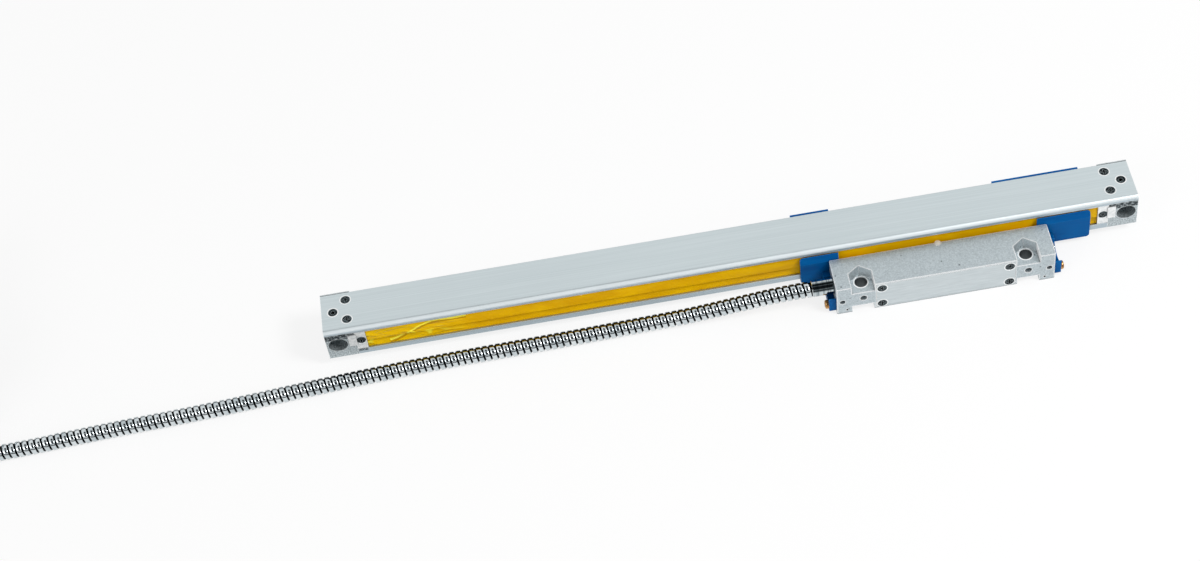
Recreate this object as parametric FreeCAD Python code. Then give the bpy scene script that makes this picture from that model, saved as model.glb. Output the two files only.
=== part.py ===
import FreeCAD, Part
import math
import os
from FreeCAD import Vector

# Sealed linear glass scale: a slotted aluminium housing with a glass grating inside, a reading head
# that slides along its front, two plastic transport brackets and an armoured cable with its plug.
# All sizes are in millimetres. +X runs along the scale, +Y points to the machine face that the
# scale is screwed to, +Z is up. The origin is midway between the two mounting slots, on the seat.

# Housing
SCALE_LENGTH = 352.0        # over both ends
BODY_DEPTH = 21.0           # housing front face to housing back face
BODY_HEIGHT = 17.4
TOP_WALL = 2.2
SIDE_WALL = 1.6             # back wall and bottom wall
FRONT_WALL = 0.8            # the two lips beside the front slot
TOP_LIP = 2.7               # from the top face down to the slot
BOTTOM_LIP = 3.4            # from the bottom face up to the slot
FRONT_FILLET = 2.0          # long rounded edge between top and front
EDGE_FILLET = 0.5
GROOVE_WIDTH = 0.9          # holds the root of a sealing lip
GROOVE_DEPTH = 1.0
SEAT_PROUD = 0.5            # the end blocks stand out behind the housing
BLOCK_DROP = 0.3            # and below it
HOLE_HEIGHT = 8.2           # mounting slots above the housing's bottom face

# End blocks
BLOCK_LENGTH = 12.8
BLOCK_RECESS = 0.2          # block front behind the housing front
BLOCK_LIP_DOWN = 0.1        # lip of the block behind the roof, below the roof's top
SLOT_WIDTH = 4.8            # mounting slot for an M4 screw
SLOT_LENGTH = 7.0
SLOT_FROM_END = 5.0         # slot centre from the end of the scale
COUNTERBORE = 7.8
COUNTERBORE_DEPTH = 5.0
COVER_SCREW_IN = 10.8       # cross-head screws from the end of the scale
COVER_SCREW_GAP = 10.7      # spacing of the pair
PORT_IN = 5.0               # air port from the end of the scale
PORT_DIA = 4.0

# Sealing lips and their clamps
SEAL_THICK = 0.6
SEAL_REST = 0.5             # free edge of the upper lip behind the housing front
LOWER_SEAL_IN = 1.6         # free edge of the lower lip behind the housing front
SLIT_GAP = 0.15             # between the blade and each lip
CLAMP_LENGTH = 4.6          # plate that pins the lips beside each block
CLAMP_THICK = 1.6
CLAMP_TAB = 3.0             # small step of the clamp over the block
CLAMP_TAB_HEIGHT = 7.0

# Glass and its seat
GLASS_THICK = 1.8
GLASS_WIDTH = 11.4
GLASS_BOTTOM = 1.6          # height of the glass's lower face
GLASS_END_GAP = 2.0         # glass end to end block
RIB_DEPTH = 1.8             # ribs on the back wall that hold the glass
RIB_THICK = 1.2
GLASS_PAD = 0.6             # elastic strip between glass and upper rib
TRACK_WIDTH = 3.0
TRACK_THICK = 0.04
TRACK_Y = -10.4             # middle of the graduated track
BUMPER = 1.0                # rubber plate on the inner face of each block
BUMPER_DEPTH = 10.0

# Reading head
HEAD_FROM_END = 87.35       # middle of the head from the +X end of the scale, as stored
HEAD_LENGTH = 94.3
HEAD_DEPTH = 16.8
HEAD_HEIGHT = 16.1
HEAD_TOP = 3.1
HEAD_GAP = 1.5              # air gap between head and housing
HEAD_EDGE = 0.6
POCKET_X = 35.55            # mounting pockets from the middle of the head
POCKET_WIDTH = 10.0
POCKET_DEPTH = 4.2
POCKET_POINT = 3.6          # rise of the pointed back of the pocket
POCKET_BACK = 5.2           # point of the pocket from the head's back face
POCKET_LEAN = 1.8           # the pointed back leans forward down to the floor
HEAD_HOLE = 5.5             # mounting hole for an M5 screw
HEAD_HOLE_Y = 11.0          # hole from the head's back face
FOOT_RECESS = 3.7           # step under each pocket
FOOT_LENGTH = 6.7
PLATE_LENGTH = 59.8
PLATE_THICK = 1.5
PLATE_ROOF = 0.8            # head wall over the plate
PLATE_GAP = 0.1
PLATE_SCREW_IN = 2.4        # cover plate's screws from its ends
PLATE_SCREW_Z = 5.0
GASKET_THICK = 0.4
ROOM_LENGTH = 47.0          # electronics room behind the plate
ROOM_DEPTH = 10.5
ROOM_FLOOR = 1.7
ROOM_HEIGHT = 12.4
CIRCUIT_GAP = 2.5           # circuit board's ends to the room's ends, and its posts from its ends
CIRCUIT_THICK = 1.0
SIDE_HOLE = 2.4             # small tapped holes in the head's front
WEB_HOLE = 3.0
PIT_DIA = 1.0               # alignment pits at the feet
INDEX_PIN = 2.7             # upright pin in the back edge that marks the reading line
INDEX_PIN_LENGTH = 2.8
INDEX_PIN_IN = 0.2          # its axis in front of the head's back face

# Blade that passes between the sealing lips
BLADE_THICK = 1.0
BLADE_Z = -0.9
BLADE_LENGTH = 44.0
BLADE_ROOT = 4.3            # part held inside the head
BLADE_REACH = 3.0           # part beyond the housing front
BLADE_SCREW_IN = 7.0        # its screws from its ends
ARM_SCREW_IN = 3.0          # and from the head's back face
LUG_DEPTH = 1.5
WIRE_DIA = 0.6
WIRE_Z = -2.1
WIRE_Y = -18.15
WIRE_HALF = 18.0

# Carriage on the glass
ROLLER_DIA = 4.0
ROLLER_BORE = 1.5
ROLLER_WIDTH = 1.6
ROLLER_GAP = 0.02           # roller to glass
AXLE_GAP = 0.02             # radial, axle to roller
FACE_ROLLERS = ((-18.0, -6.4), (18.0, -6.4), (-6.0, -11.8))
EDGE_ROLLERS = (-18.0, 18.0)
DECK_LENGTH = 44.0
DECK_BOTTOM = -5.6
DECK_TOP = -2.9
DECK_BACK = -4.5
DECK_FRONT = -17.8
EAR_THICK = 1.0
EAR_TOP = 0.8
SIDE_PLAY = 0.1             # roller to ear
OPTICS_X = 8.0
BRIDGE_LENGTH = 12.0
BRIDGE_THICK = 2.6
ARM_BOTTOM = 4.2
ARM_TOP = 6.0
LENS_DIA = 4.0
LENS_THICK = 1.6
BOARD_THICK = 0.6
RETICLE_SIZE = 7.0
RETICLE_THICK = 0.8
RETICLE_GAP = 0.3

# Transport brackets
BRACKET_WALL = 1.3
BRACKET_FLOOR = 1.7
BRACKET_PLAY = 0.1          # bracket to housing
BRACKET_TOP = 6.0           # front wall top edge
BRACKET_FOLD = 3.4          # height of its sloping top
BRACKET_BACK_TOP = 8.6
BRACKET_LAP = 4.4           # left bracket past the head's left end
BRACKET_LEFT_OUT = 12.3     # its outer end from the head's left end
BRACKET_RIGHT_LAP = 3.9     # right bracket past the head's right end
BRACKET_RIGHT_OUT = 19.2
BRACKET_BACK_LAP = 18.4     # its back wall past the head's right end
TAB_THICK = 3.0
TAB_RELIEF = 6.2            # radius cut out of the tab around the cable outlet
TAB_FRONT = 1.4             # tab end behind the head's front face
TAB_BOTTOM = 0.3            # tab above the head's bottom
TAB_TOP = -3.9
BRACKET_CORNER = 1.5        # rounding of the front wall's free corners
BRACKET_SCREW_Y = 13.0      # from the head's back face
BRACKET_SCREW_Z = 3.2       # from the head's bottom

# Armoured cable
CORD_DIA = 7.0
CORD_Y = 9.0                # gland axis from the head's back face
CORD_Z = -2.6
FERRULE_DIA = 7.2
FERRULE_LENGTH = 9.4
FERRULE_NECK = 5.2
BLANK_DIA = 6.2             # head of the plug in the spare outlet
BLANK_PROUD = 1.1
NECK_LENGTH = 5.0
COIL_FROM_MOUTH = 419.6      # middle of the coil from the mouth of the ferrule
COIL_STRAIGHT = 30.0        # straight runs of the oval coil
COIL_TURNS = 2              # turns side by side
COIL_INNER = 35.0           # radius of the inner turn at the round ends
COIL_LAYERS = 4
COIL_STUB = 28.0            # straight piece of the coil where the cable comes in
COIL_STUB_OUT = 12.3        # and where it goes out on top
STUB_END = 0.3              # end of that piece from the coil's middle
STUB_RISE = 3.8             # its axis above the coil
# X from the ferrule's mouth, then Y and Z
LEAD_POINTS = (
    (-12.1, -32.0, -2.6),
    (-32.1, -31.7, -5.0),
    (-53.1, -30.9, -8.3),
    (-78.1, -30.6, -9.5),
    (-114.1, -31.4, -9.5),
    (-162.1, -31.9, -9.5),
    (-210.1, -34.0, -9.5),
    (-260.1, -37.4, -9.5),
    (-308.1, -38.7, -9.5),
    (-346.1, -40.9, -9.5),
)
# X and Y from the coil's middle, Z from its top
TAIL_POINTS = (
    (-30.33, -38.5, 3.8),
    (-52.0, -16.8, 5.2),
    (-52.0, 13.8, 6.8),
    (-30.33, 35.5, 8.0),
)

# Plug
PLUG_FROM_COIL = 0.3        # cable entry from the coil's middle
PLUG_SIDE = 35.5            # plug's axis from the coil's middle
PLUG_BOOT = 8.0
STUB_DIA = 6.8              # coil's straight pieces, a little thinner than the cable they meet
HOOD_LENGTH = 36.0
HOOD_WIDTH = 31.0
HOOD_HEIGHT = 16.0
HOOD_WALL = 1.6
HOOD_THROAT = 14.0          # sloping part of the hood at the cable entry
FLANGE_THICK = 0.8
FLANGE_HEIGHT = 12.4
SHELL_REACH = 5.8
SHELL_WIDTH = 17.0
SHELL_HEIGHT = 8.4
PIN_PITCH = 2.76
ROW_PITCH = 2.84
CONTACT_DIA = 1.2
JACK_SPACING = 25.0
JACK_DIA = 5.0
JACK_LENGTH = 9.0

# Screws
SCREW_PLAY = 0.05           # radial, shank to its hole
CROSS_DIA = 4.2             # countersunk cross-head screws
CROSS_HEAD = 1.3
CROSS_SHANK = 2.4
RECESS_WIDTH = 0.6
GOLD_HEAD = 3.9             # pan-head screws of the brackets
GOLD_HEIGHT = 1.6
GOLD_SHANK = 2.4
SMALL_HEAD = 3.0
SMALL_SHANK = 1.6

# Places that follow from the sizes
HALF = SCALE_LENGTH / 2
Y_BACK = -SEAT_PROUD
Y_FRONT = Y_BACK - BODY_DEPTH
Z_BOTTOM = -HOLE_HEIGHT
Z_TOP = Z_BOTTOM + BODY_HEIGHT
Z_ROOF = Z_TOP - TOP_WALL
Z_FLOOR = Z_BOTTOM + SIDE_WALL
Z_SLOT_TOP = Z_TOP - TOP_LIP
Z_SLOT_BOTTOM = Z_BOTTOM + BOTTOM_LIP
Y_IN = Y_BACK - SIDE_WALL
BLOCK_X = HALF - BLOCK_LENGTH
GLASS_BACK = Y_IN - 0.2
GLASS_FRONT = GLASS_BACK - GLASS_WIDTH
GLASS_TOP = GLASS_BOTTOM + GLASS_THICK
HEAD_BACK = Y_FRONT - HEAD_GAP
HEAD_FRONT = HEAD_BACK - HEAD_DEPTH
HEAD_BOTTOM = HEAD_TOP - HEAD_HEIGHT
HEAD_X = HALF - HEAD_FROM_END
HEAD_LEFT = HEAD_X - HEAD_LENGTH / 2
HEAD_RIGHT = HEAD_X + HEAD_LENGTH / 2
PLATE_TOP = HEAD_TOP - PLATE_ROOF - PLATE_GAP
PLATE_MID = (PLATE_TOP + HEAD_BOTTOM) / 2
BLADE_TOP = BLADE_Z + BLADE_THICK / 2
BLADE_BOTTOM = BLADE_Z - BLADE_THICK / 2
CORD_AXIS_Y = HEAD_BACK - CORD_Y
GROOVE_FRONT = Y_FRONT + FRONT_WALL
GROOVE_BACK = GROOVE_FRONT + GROOVE_WIDTH
COIL_OUTER = COIL_INNER + (COIL_TURNS - 1) * CORD_DIA
LIE_Z = HEAD_BOTTOM + CORD_DIA / 2
COIL_Y = LEAD_POINTS[-1][1] + COIL_OUTER
COIL_TOP = HEAD_BOTTOM + COIL_LAYERS * CORD_DIA
MOUTH_X = HEAD_LEFT - FERRULE_LENGTH
COIL_X = MOUTH_X - COIL_FROM_MOUTH
PLUG_X = COIL_X + PLUG_FROM_COIL
PLUG_Y = COIL_Y + PLUG_SIDE
PLUG_Z = COIL_TOP + HOOD_HEIGHT / 2
PLATE_SCREW_X = PLATE_LENGTH / 2 - PLATE_SCREW_IN
LEFT_BRACKET = (HEAD_LEFT - BRACKET_LEFT_OUT, HEAD_LEFT + BRACKET_LAP)
RIGHT_BRACKET = (HEAD_RIGHT - BRACKET_RIGHT_LAP, HEAD_RIGHT + BRACKET_RIGHT_OUT)
RIGHT_BACK_START = HEAD_RIGHT - BRACKET_BACK_LAP


def box(x0, x1, y0, y1, z0, z1):
    """Box between two corners."""
    return Part.makeBox(x1 - x0, y1 - y0, z1 - z0, Vector(x0, y0, z0))


def rod(start, direction, radius, length):
    """Round bar from a point along a direction."""
    return Part.makeCylinder(radius, length, Vector(*start), Vector(*direction))


def bar_x(points, x0, x1):
    """Straight bar along X whose section is the closed outline of (y, z) points."""
    corners = [Vector(x0, y, z) for y, z in points]
    face = Part.Face(Part.makePolygon(corners + corners[:1]))
    return face.extrude(Vector(x1 - x0, 0, 0))


def bar_z(points, z0, z1):
    """Upright bar whose section is the closed outline of (x, y) points."""
    corners = [Vector(x, y, z0) for x, y in points]
    face = Part.Face(Part.makePolygon(corners + corners[:1]))
    return face.extrude(Vector(0, 0, z1 - z0))


def tapered(low, high, z0, z1):
    """Solid between two outlines of (x, y) points at two heights."""
    wires = []
    for points, z in ((low, z0), (high, z1)):
        corners = [Vector(x, y, z) for x, y in points]
        wires.append(Part.makePolygon(corners + corners[:1]))
    return Part.makeLoft(wires, True, True)


def stadium(x, y0, y1, z, width, length):
    """Slot that runs along X with round ends, cut through along Y."""
    radius = width / 2
    reach = length / 2 - radius
    middle = box(x - reach, x + reach, y0, y1, z - radius, z + radius)
    left = rod((x - reach, y0, z), (0, 1, 0), radius, y1 - y0)
    right = rod((x + reach, y0, z), (0, 1, 0), radius, y1 - y0)
    return middle.fuse([left, right]).removeSplitter()


def long_edges(shape, wanted):
    """Edges parallel to X for which wanted(y, z) is true."""
    found = []
    for edge in shape.Edges:
        first = edge.Vertexes[0].Point
        last = edge.Vertexes[-1].Point
        along_x = abs(first.y - last.y) < 1e-6 and abs(first.z - last.z) < 1e-6
        if along_x and wanted(first.y, first.z):
            found.append(edge)
    return found


def cross_screw(head_dia, head_height, shank_dia, length, countersunk):
    """Cross-recessed screw that points down, with the top of its head at the origin."""
    if countersunk:
        head = Part.makeCone(shank_dia / 2, head_dia / 2, head_height, Vector(0, 0, -head_height))
        recess_depth = head_height * 0.6
    else:
        head = Part.makeCylinder(head_dia / 2, head_height, Vector(0, 0, -head_height))
        rim = [edge for edge in head.Edges if edge.Vertexes[0].Point.z > -1e-6 and edge.Length < head_dia * 4]
        head = head.makeFillet(head_height * 0.45, rim[:1])
        recess_depth = head_height * 0.5
    shank = Part.makeCylinder(shank_dia / 2, length, Vector(0, 0, -head_height - length))
    arm = head_dia * 0.32
    half = RECESS_WIDTH / 2
    recess = box(-arm, arm, -half, half, -recess_depth, 1)
    recess = recess.fuse(box(-half, half, -arm, arm, -recess_depth, 1))
    return head.fuse(shank).cut(recess).removeSplitter()


def turned(shape, direction):
    """Turn a shape that points along -Z so that it points along the given direction."""
    copy = shape.copy()
    turn = FreeCAD.Rotation(Vector(0, 0, -1), Vector(*direction))
    copy.Placement = FreeCAD.Placement(Vector(0, 0, 0), turn)
    return copy


def placed(shape, x, y, z):
    """Copy of a shape moved to a point."""
    copy = shape.copy()
    copy.translate(Vector(x, y, z))
    return copy


def group(shapes):
    """Several separate solids kept together."""
    return Part.makeCompound(shapes)


def rounded_bar(points, x0, x1):
    """Straight bar along X from an outline of (y, z, corner radius) points."""
    edges = []
    starts = []
    ends = []
    count = len(points)
    for i in range(count):
        before = Vector(x0, *points[i - 1][:2])
        corner = Vector(x0, *points[i][:2])
        after = Vector(x0, *points[(i + 1) % count][:2])
        radius = points[i][2]
        into = (corner - before).normalize()
        out = (after - corner).normalize()
        reach = radius * math.tan(into.getAngle(out) / 2)
        starts.append(corner - into * reach)
        ends.append(corner + out * reach)
        if radius:
            turn = into.getAngle(out)
            middle = corner + (out - into).normalize() * radius * (1 / math.cos(turn / 2) - 1)
            edges.append(Part.Arc(starts[-1], middle, ends[-1]).toShape())
    for i in range(count):
        edges.append(Part.LineSegment(ends[i - 1], starts[i]).toShape())
    outline = Part.Wire(Part.__sortEdges__(edges))
    return Part.Face(outline).extrude(Vector(x1 - x0, 0, 0))


def housing_profile():
    """Extruded channel, open at the front, with glass ribs, seal grooves and a roof over both blocks."""
    roof = (
        (Y_FRONT, Z_TOP, FRONT_FILLET), (Y_BACK, Z_TOP, EDGE_FILLET),
    )
    rib_front = Y_IN - RIB_DEPTH
    rib_z = GLASS_TOP + GLASS_PAD
    inner_rib = GROOVE_BACK + FRONT_WALL
    rib_top = Z_SLOT_BOTTOM - GROOVE_DEPTH + 0.4
    channel = roof + (
        (Y_BACK, Z_BOTTOM, EDGE_FILLET), (Y_FRONT, Z_BOTTOM, EDGE_FILLET),
        (Y_FRONT, Z_SLOT_BOTTOM, 0), (GROOVE_FRONT, Z_SLOT_BOTTOM, 0),
        (GROOVE_FRONT, Z_FLOOR, 0), (GROOVE_BACK, Z_FLOOR, 0),
        (GROOVE_BACK, rib_top, 0), (inner_rib, rib_top, 0),
        (inner_rib, Z_FLOOR, 0), (Y_IN, Z_FLOOR, 0),
        (Y_IN, GLASS_BOTTOM - RIB_THICK, 0), (rib_front, GLASS_BOTTOM - RIB_THICK, 0),
        (rib_front, GLASS_BOTTOM, 0), (Y_IN, GLASS_BOTTOM, 0),
        (Y_IN, rib_z, 0), (rib_front, rib_z, 0),
        (rib_front, rib_z + RIB_THICK, 0), (Y_IN, rib_z + RIB_THICK, 0),
        (Y_IN, Z_ROOF, 0), (GROOVE_BACK, Z_ROOF, 0),
        (GROOVE_BACK, Z_ROOF + GROOVE_DEPTH, 0), (GROOVE_FRONT, Z_ROOF + GROOVE_DEPTH, 0),
        (GROOVE_FRONT, Z_SLOT_TOP, 0), (Y_FRONT, Z_SLOT_TOP, 0),
    )
    cap = roof + ((Y_BACK, Z_ROOF, 0), (Y_FRONT, Z_ROOF, 0))
    body = rounded_bar(channel, -BLOCK_X, BLOCK_X)
    body = body.fuse([rounded_bar(cap, -HALF, -BLOCK_X), rounded_bar(cap, BLOCK_X, HALF)])
    for side in (-1, 1):
        screw_x = side * (HALF - COVER_SCREW_IN)
        for y in cover_screw_rows():
            sink = Part.makeCone(CROSS_SHANK / 2 + SCREW_PLAY, CROSS_DIA / 2 + SCREW_PLAY, CROSS_HEAD,
                                 Vector(screw_x, y, Z_TOP - CROSS_HEAD))
            hole = rod((screw_x, y, Z_ROOF - 1), (0, 0, 1), CROSS_SHANK / 2 + SCREW_PLAY, TOP_WALL)
            body = body.cut([sink, hole])
        port = rod((side * (HALF - PORT_IN), port_row(), Z_ROOF - 1), (0, 0, 1), PORT_DIA / 2 + SCREW_PLAY,
                   TOP_WALL + 2)
        body = body.cut(port)
    return body.removeSplitter()


def cover_screw_rows():
    """Y of the two cover screws at each end."""
    middle = (Y_FRONT + Y_BACK) / 2 + 0.9
    return (middle - COVER_SCREW_GAP / 2, middle + COVER_SCREW_GAP / 2)


def port_row():
    """Y of the air port."""
    return (Y_FRONT + Y_BACK) / 2 + 0.4


def end_block(side):
    """Milled block that closes one end and carries the mounting slot."""
    ends = sorted((side * BLOCK_X, side * HALF))
    block = box(ends[0], ends[1], Y_FRONT + BLOCK_RECESS, 0.0, Z_BOTTOM - BLOCK_DROP, Z_ROOF)
    edges = long_edges(block, lambda y, z: z < Z_BOTTOM)
    block = block.makeFillet(EDGE_FILLET, edges)
    block = block.fuse(box(ends[0], ends[1], Y_BACK, 0.0, Z_ROOF - 1.0, Z_TOP - BLOCK_LIP_DOWN))
    x = side * (HALF - SLOT_FROM_END)
    slot = stadium(x, Y_FRONT - 1, 1, 0.0, SLOT_WIDTH, SLOT_LENGTH)
    sink = stadium(x, Y_FRONT - 1, Y_FRONT + BLOCK_RECESS + COUNTERBORE_DEPTH, 0.0,
                   COUNTERBORE, COUNTERBORE + 0.6)
    block = block.cut([slot, sink])
    screw_x = side * (HALF - COVER_SCREW_IN)
    for y in cover_screw_rows():
        hole = rod((screw_x, y, Z_ROOF - 6), (0, 0, 1), CROSS_SHANK / 2 + SCREW_PLAY, 7)
        block = block.cut(hole)
    port = rod((side * (HALF - PORT_IN), port_row(), Z_ROOF - 2.4), (0, 0, 1), PORT_DIA / 2 + SCREW_PLAY, 4)
    tab_ends = sorted((side * (BLOCK_X - 0.01), side * (BLOCK_X + CLAMP_TAB + 0.1)))
    tab_seat = box(tab_ends[0], tab_ends[1], Y_FRONT - 1, Y_FRONT + BLOCK_RECESS + 0.6,
                   clamp_tab_low() - 0.1, clamp_tab_low() + CLAMP_TAB_HEIGHT + 0.1)
    return block.cut([port, tab_seat]).removeSplitter()


def clamp_tab_low():
    """Lower edge of the seal clamp's small tab."""
    return -1.6


def seal_clamp(side):
    """Small plate beside the block that pins the ends of both sealing lips."""
    inner = side * (BLOCK_X - CLAMP_LENGTH)
    ends = sorted((inner, side * BLOCK_X))
    z0 = Z_SLOT_BOTTOM + 0.05
    z1 = Z_SLOT_TOP - 0.05
    plate = box(ends[0], ends[1], Y_FRONT + 0.1, Y_FRONT + 0.1 + CLAMP_THICK, z0, z1)
    tab_ends = sorted((side * (BLOCK_X - 0.5), side * (BLOCK_X + CLAMP_TAB)))
    tab = box(tab_ends[0], tab_ends[1], Y_FRONT - 0.3, Y_FRONT + BLOCK_RECESS + 0.6,
              clamp_tab_low(), clamp_tab_low() + CLAMP_TAB_HEIGHT)
    clamp = plate.fuse(tab)
    x = side * (BLOCK_X - CLAMP_LENGTH / 2)
    hole = rod((x, Y_FRONT - 1, clamp_screw_z()), (0, 1, 0), CROSS_SHANK / 2 + SCREW_PLAY, 6)
    sink = Part.makeCone(CROSS_DIA / 2 + SCREW_PLAY, CROSS_SHANK / 2 + SCREW_PLAY, CROSS_HEAD,
                         Vector(x, Y_FRONT + 0.1, clamp_screw_z()), Vector(0, 1, 0))
    return clamp.cut([hole, sink]).removeSplitter()


def clamp_screw_z():
    """Height of the seal clamp's screw."""
    return 1.0


def clamp_anchor(side):
    """Threaded bar behind the sealing lips that the clamp's screw bites into."""
    inner = side * (BLOCK_X - CLAMP_LENGTH + 0.4)
    ends = sorted((inner, side * BLOCK_X))
    y0 = Y_FRONT + 0.1 + CLAMP_THICK + SEAL_THICK
    bar = box(ends[0], ends[1], y0, y0 + 4.0, Z_SLOT_BOTTOM + 0.5, Z_SLOT_TOP - 0.5)
    x = side * (BLOCK_X - CLAMP_LENGTH / 2)
    hole = rod((x, y0 - 1, clamp_screw_z()), (0, 1, 0), CROSS_SHANK / 2 + SCREW_PLAY, 8)
    return bar.cut(hole)


def upper_lip_seal():
    """Translucent strip that hangs from the roof groove over the slot."""
    root = GROOVE_FRONT + 0.1
    free = Y_FRONT + SEAL_REST
    top = Z_ROOF + GROOVE_DEPTH - 0.1
    bend = Z_SLOT_TOP - 0.3
    low = BLADE_TOP + SLIT_GAP
    outline = (
        (root, top), (root + SEAL_THICK, top), (root + SEAL_THICK, bend - 0.3),
        (free + SEAL_THICK, low), (free, low), (root, bend),
    )
    reach = BLOCK_X - CLAMP_LENGTH - 0.1
    return bar_x(outline, -reach, reach)


def lower_lip_seal():
    """Translucent strip that stands in the floor groove, its free edge behind the upper one."""
    root = GROOVE_FRONT + 0.1
    free = Y_FRONT + LOWER_SEAL_IN
    bottom = Z_FLOOR + 0.1
    bend = Z_SLOT_BOTTOM + 0.2
    high = BLADE_BOTTOM - SLIT_GAP
    outline = (
        (root, bottom), (root + SEAL_THICK, bottom), (root + SEAL_THICK, bend - 0.1),
        (free + SEAL_THICK, high), (free, high), (root, bend),
    )
    reach = BLOCK_X - CLAMP_LENGTH - 0.1
    return bar_x(outline, -reach, reach)


def glass_scale():
    """Glass strip with the grating, held by its back edge between the ribs."""
    reach = BLOCK_X - GLASS_END_GAP
    return box(-reach, reach, GLASS_FRONT, GLASS_BACK, GLASS_BOTTOM, GLASS_TOP)


def graduation_track():
    """Chrome track on the lower face of the glass."""
    reach = BLOCK_X - GLASS_END_GAP - 6
    return box(-reach, reach, TRACK_Y - TRACK_WIDTH / 2, TRACK_Y + TRACK_WIDTH / 2,
               GLASS_BOTTOM - TRACK_THICK, GLASS_BOTTOM)


def glass_clamp_strip():
    """Elastic strip pressed between the glass and the upper rib."""
    reach = BLOCK_X - GLASS_END_GAP
    return box(-reach, reach, Y_IN - RIB_DEPTH + 0.2, GLASS_BACK, GLASS_TOP, GLASS_TOP + GLASS_PAD)


def end_bumper(side):
    """Rubber plate on the inner face of an end block."""
    ends = sorted((side * (BLOCK_X - BUMPER), side * BLOCK_X))
    return box(ends[0], ends[1], Y_IN - 0.5 - BUMPER_DEPTH, Y_IN - 0.5, Z_FLOOR + 0.3,
               GLASS_BOTTOM - RIB_THICK - 0.3)


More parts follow.
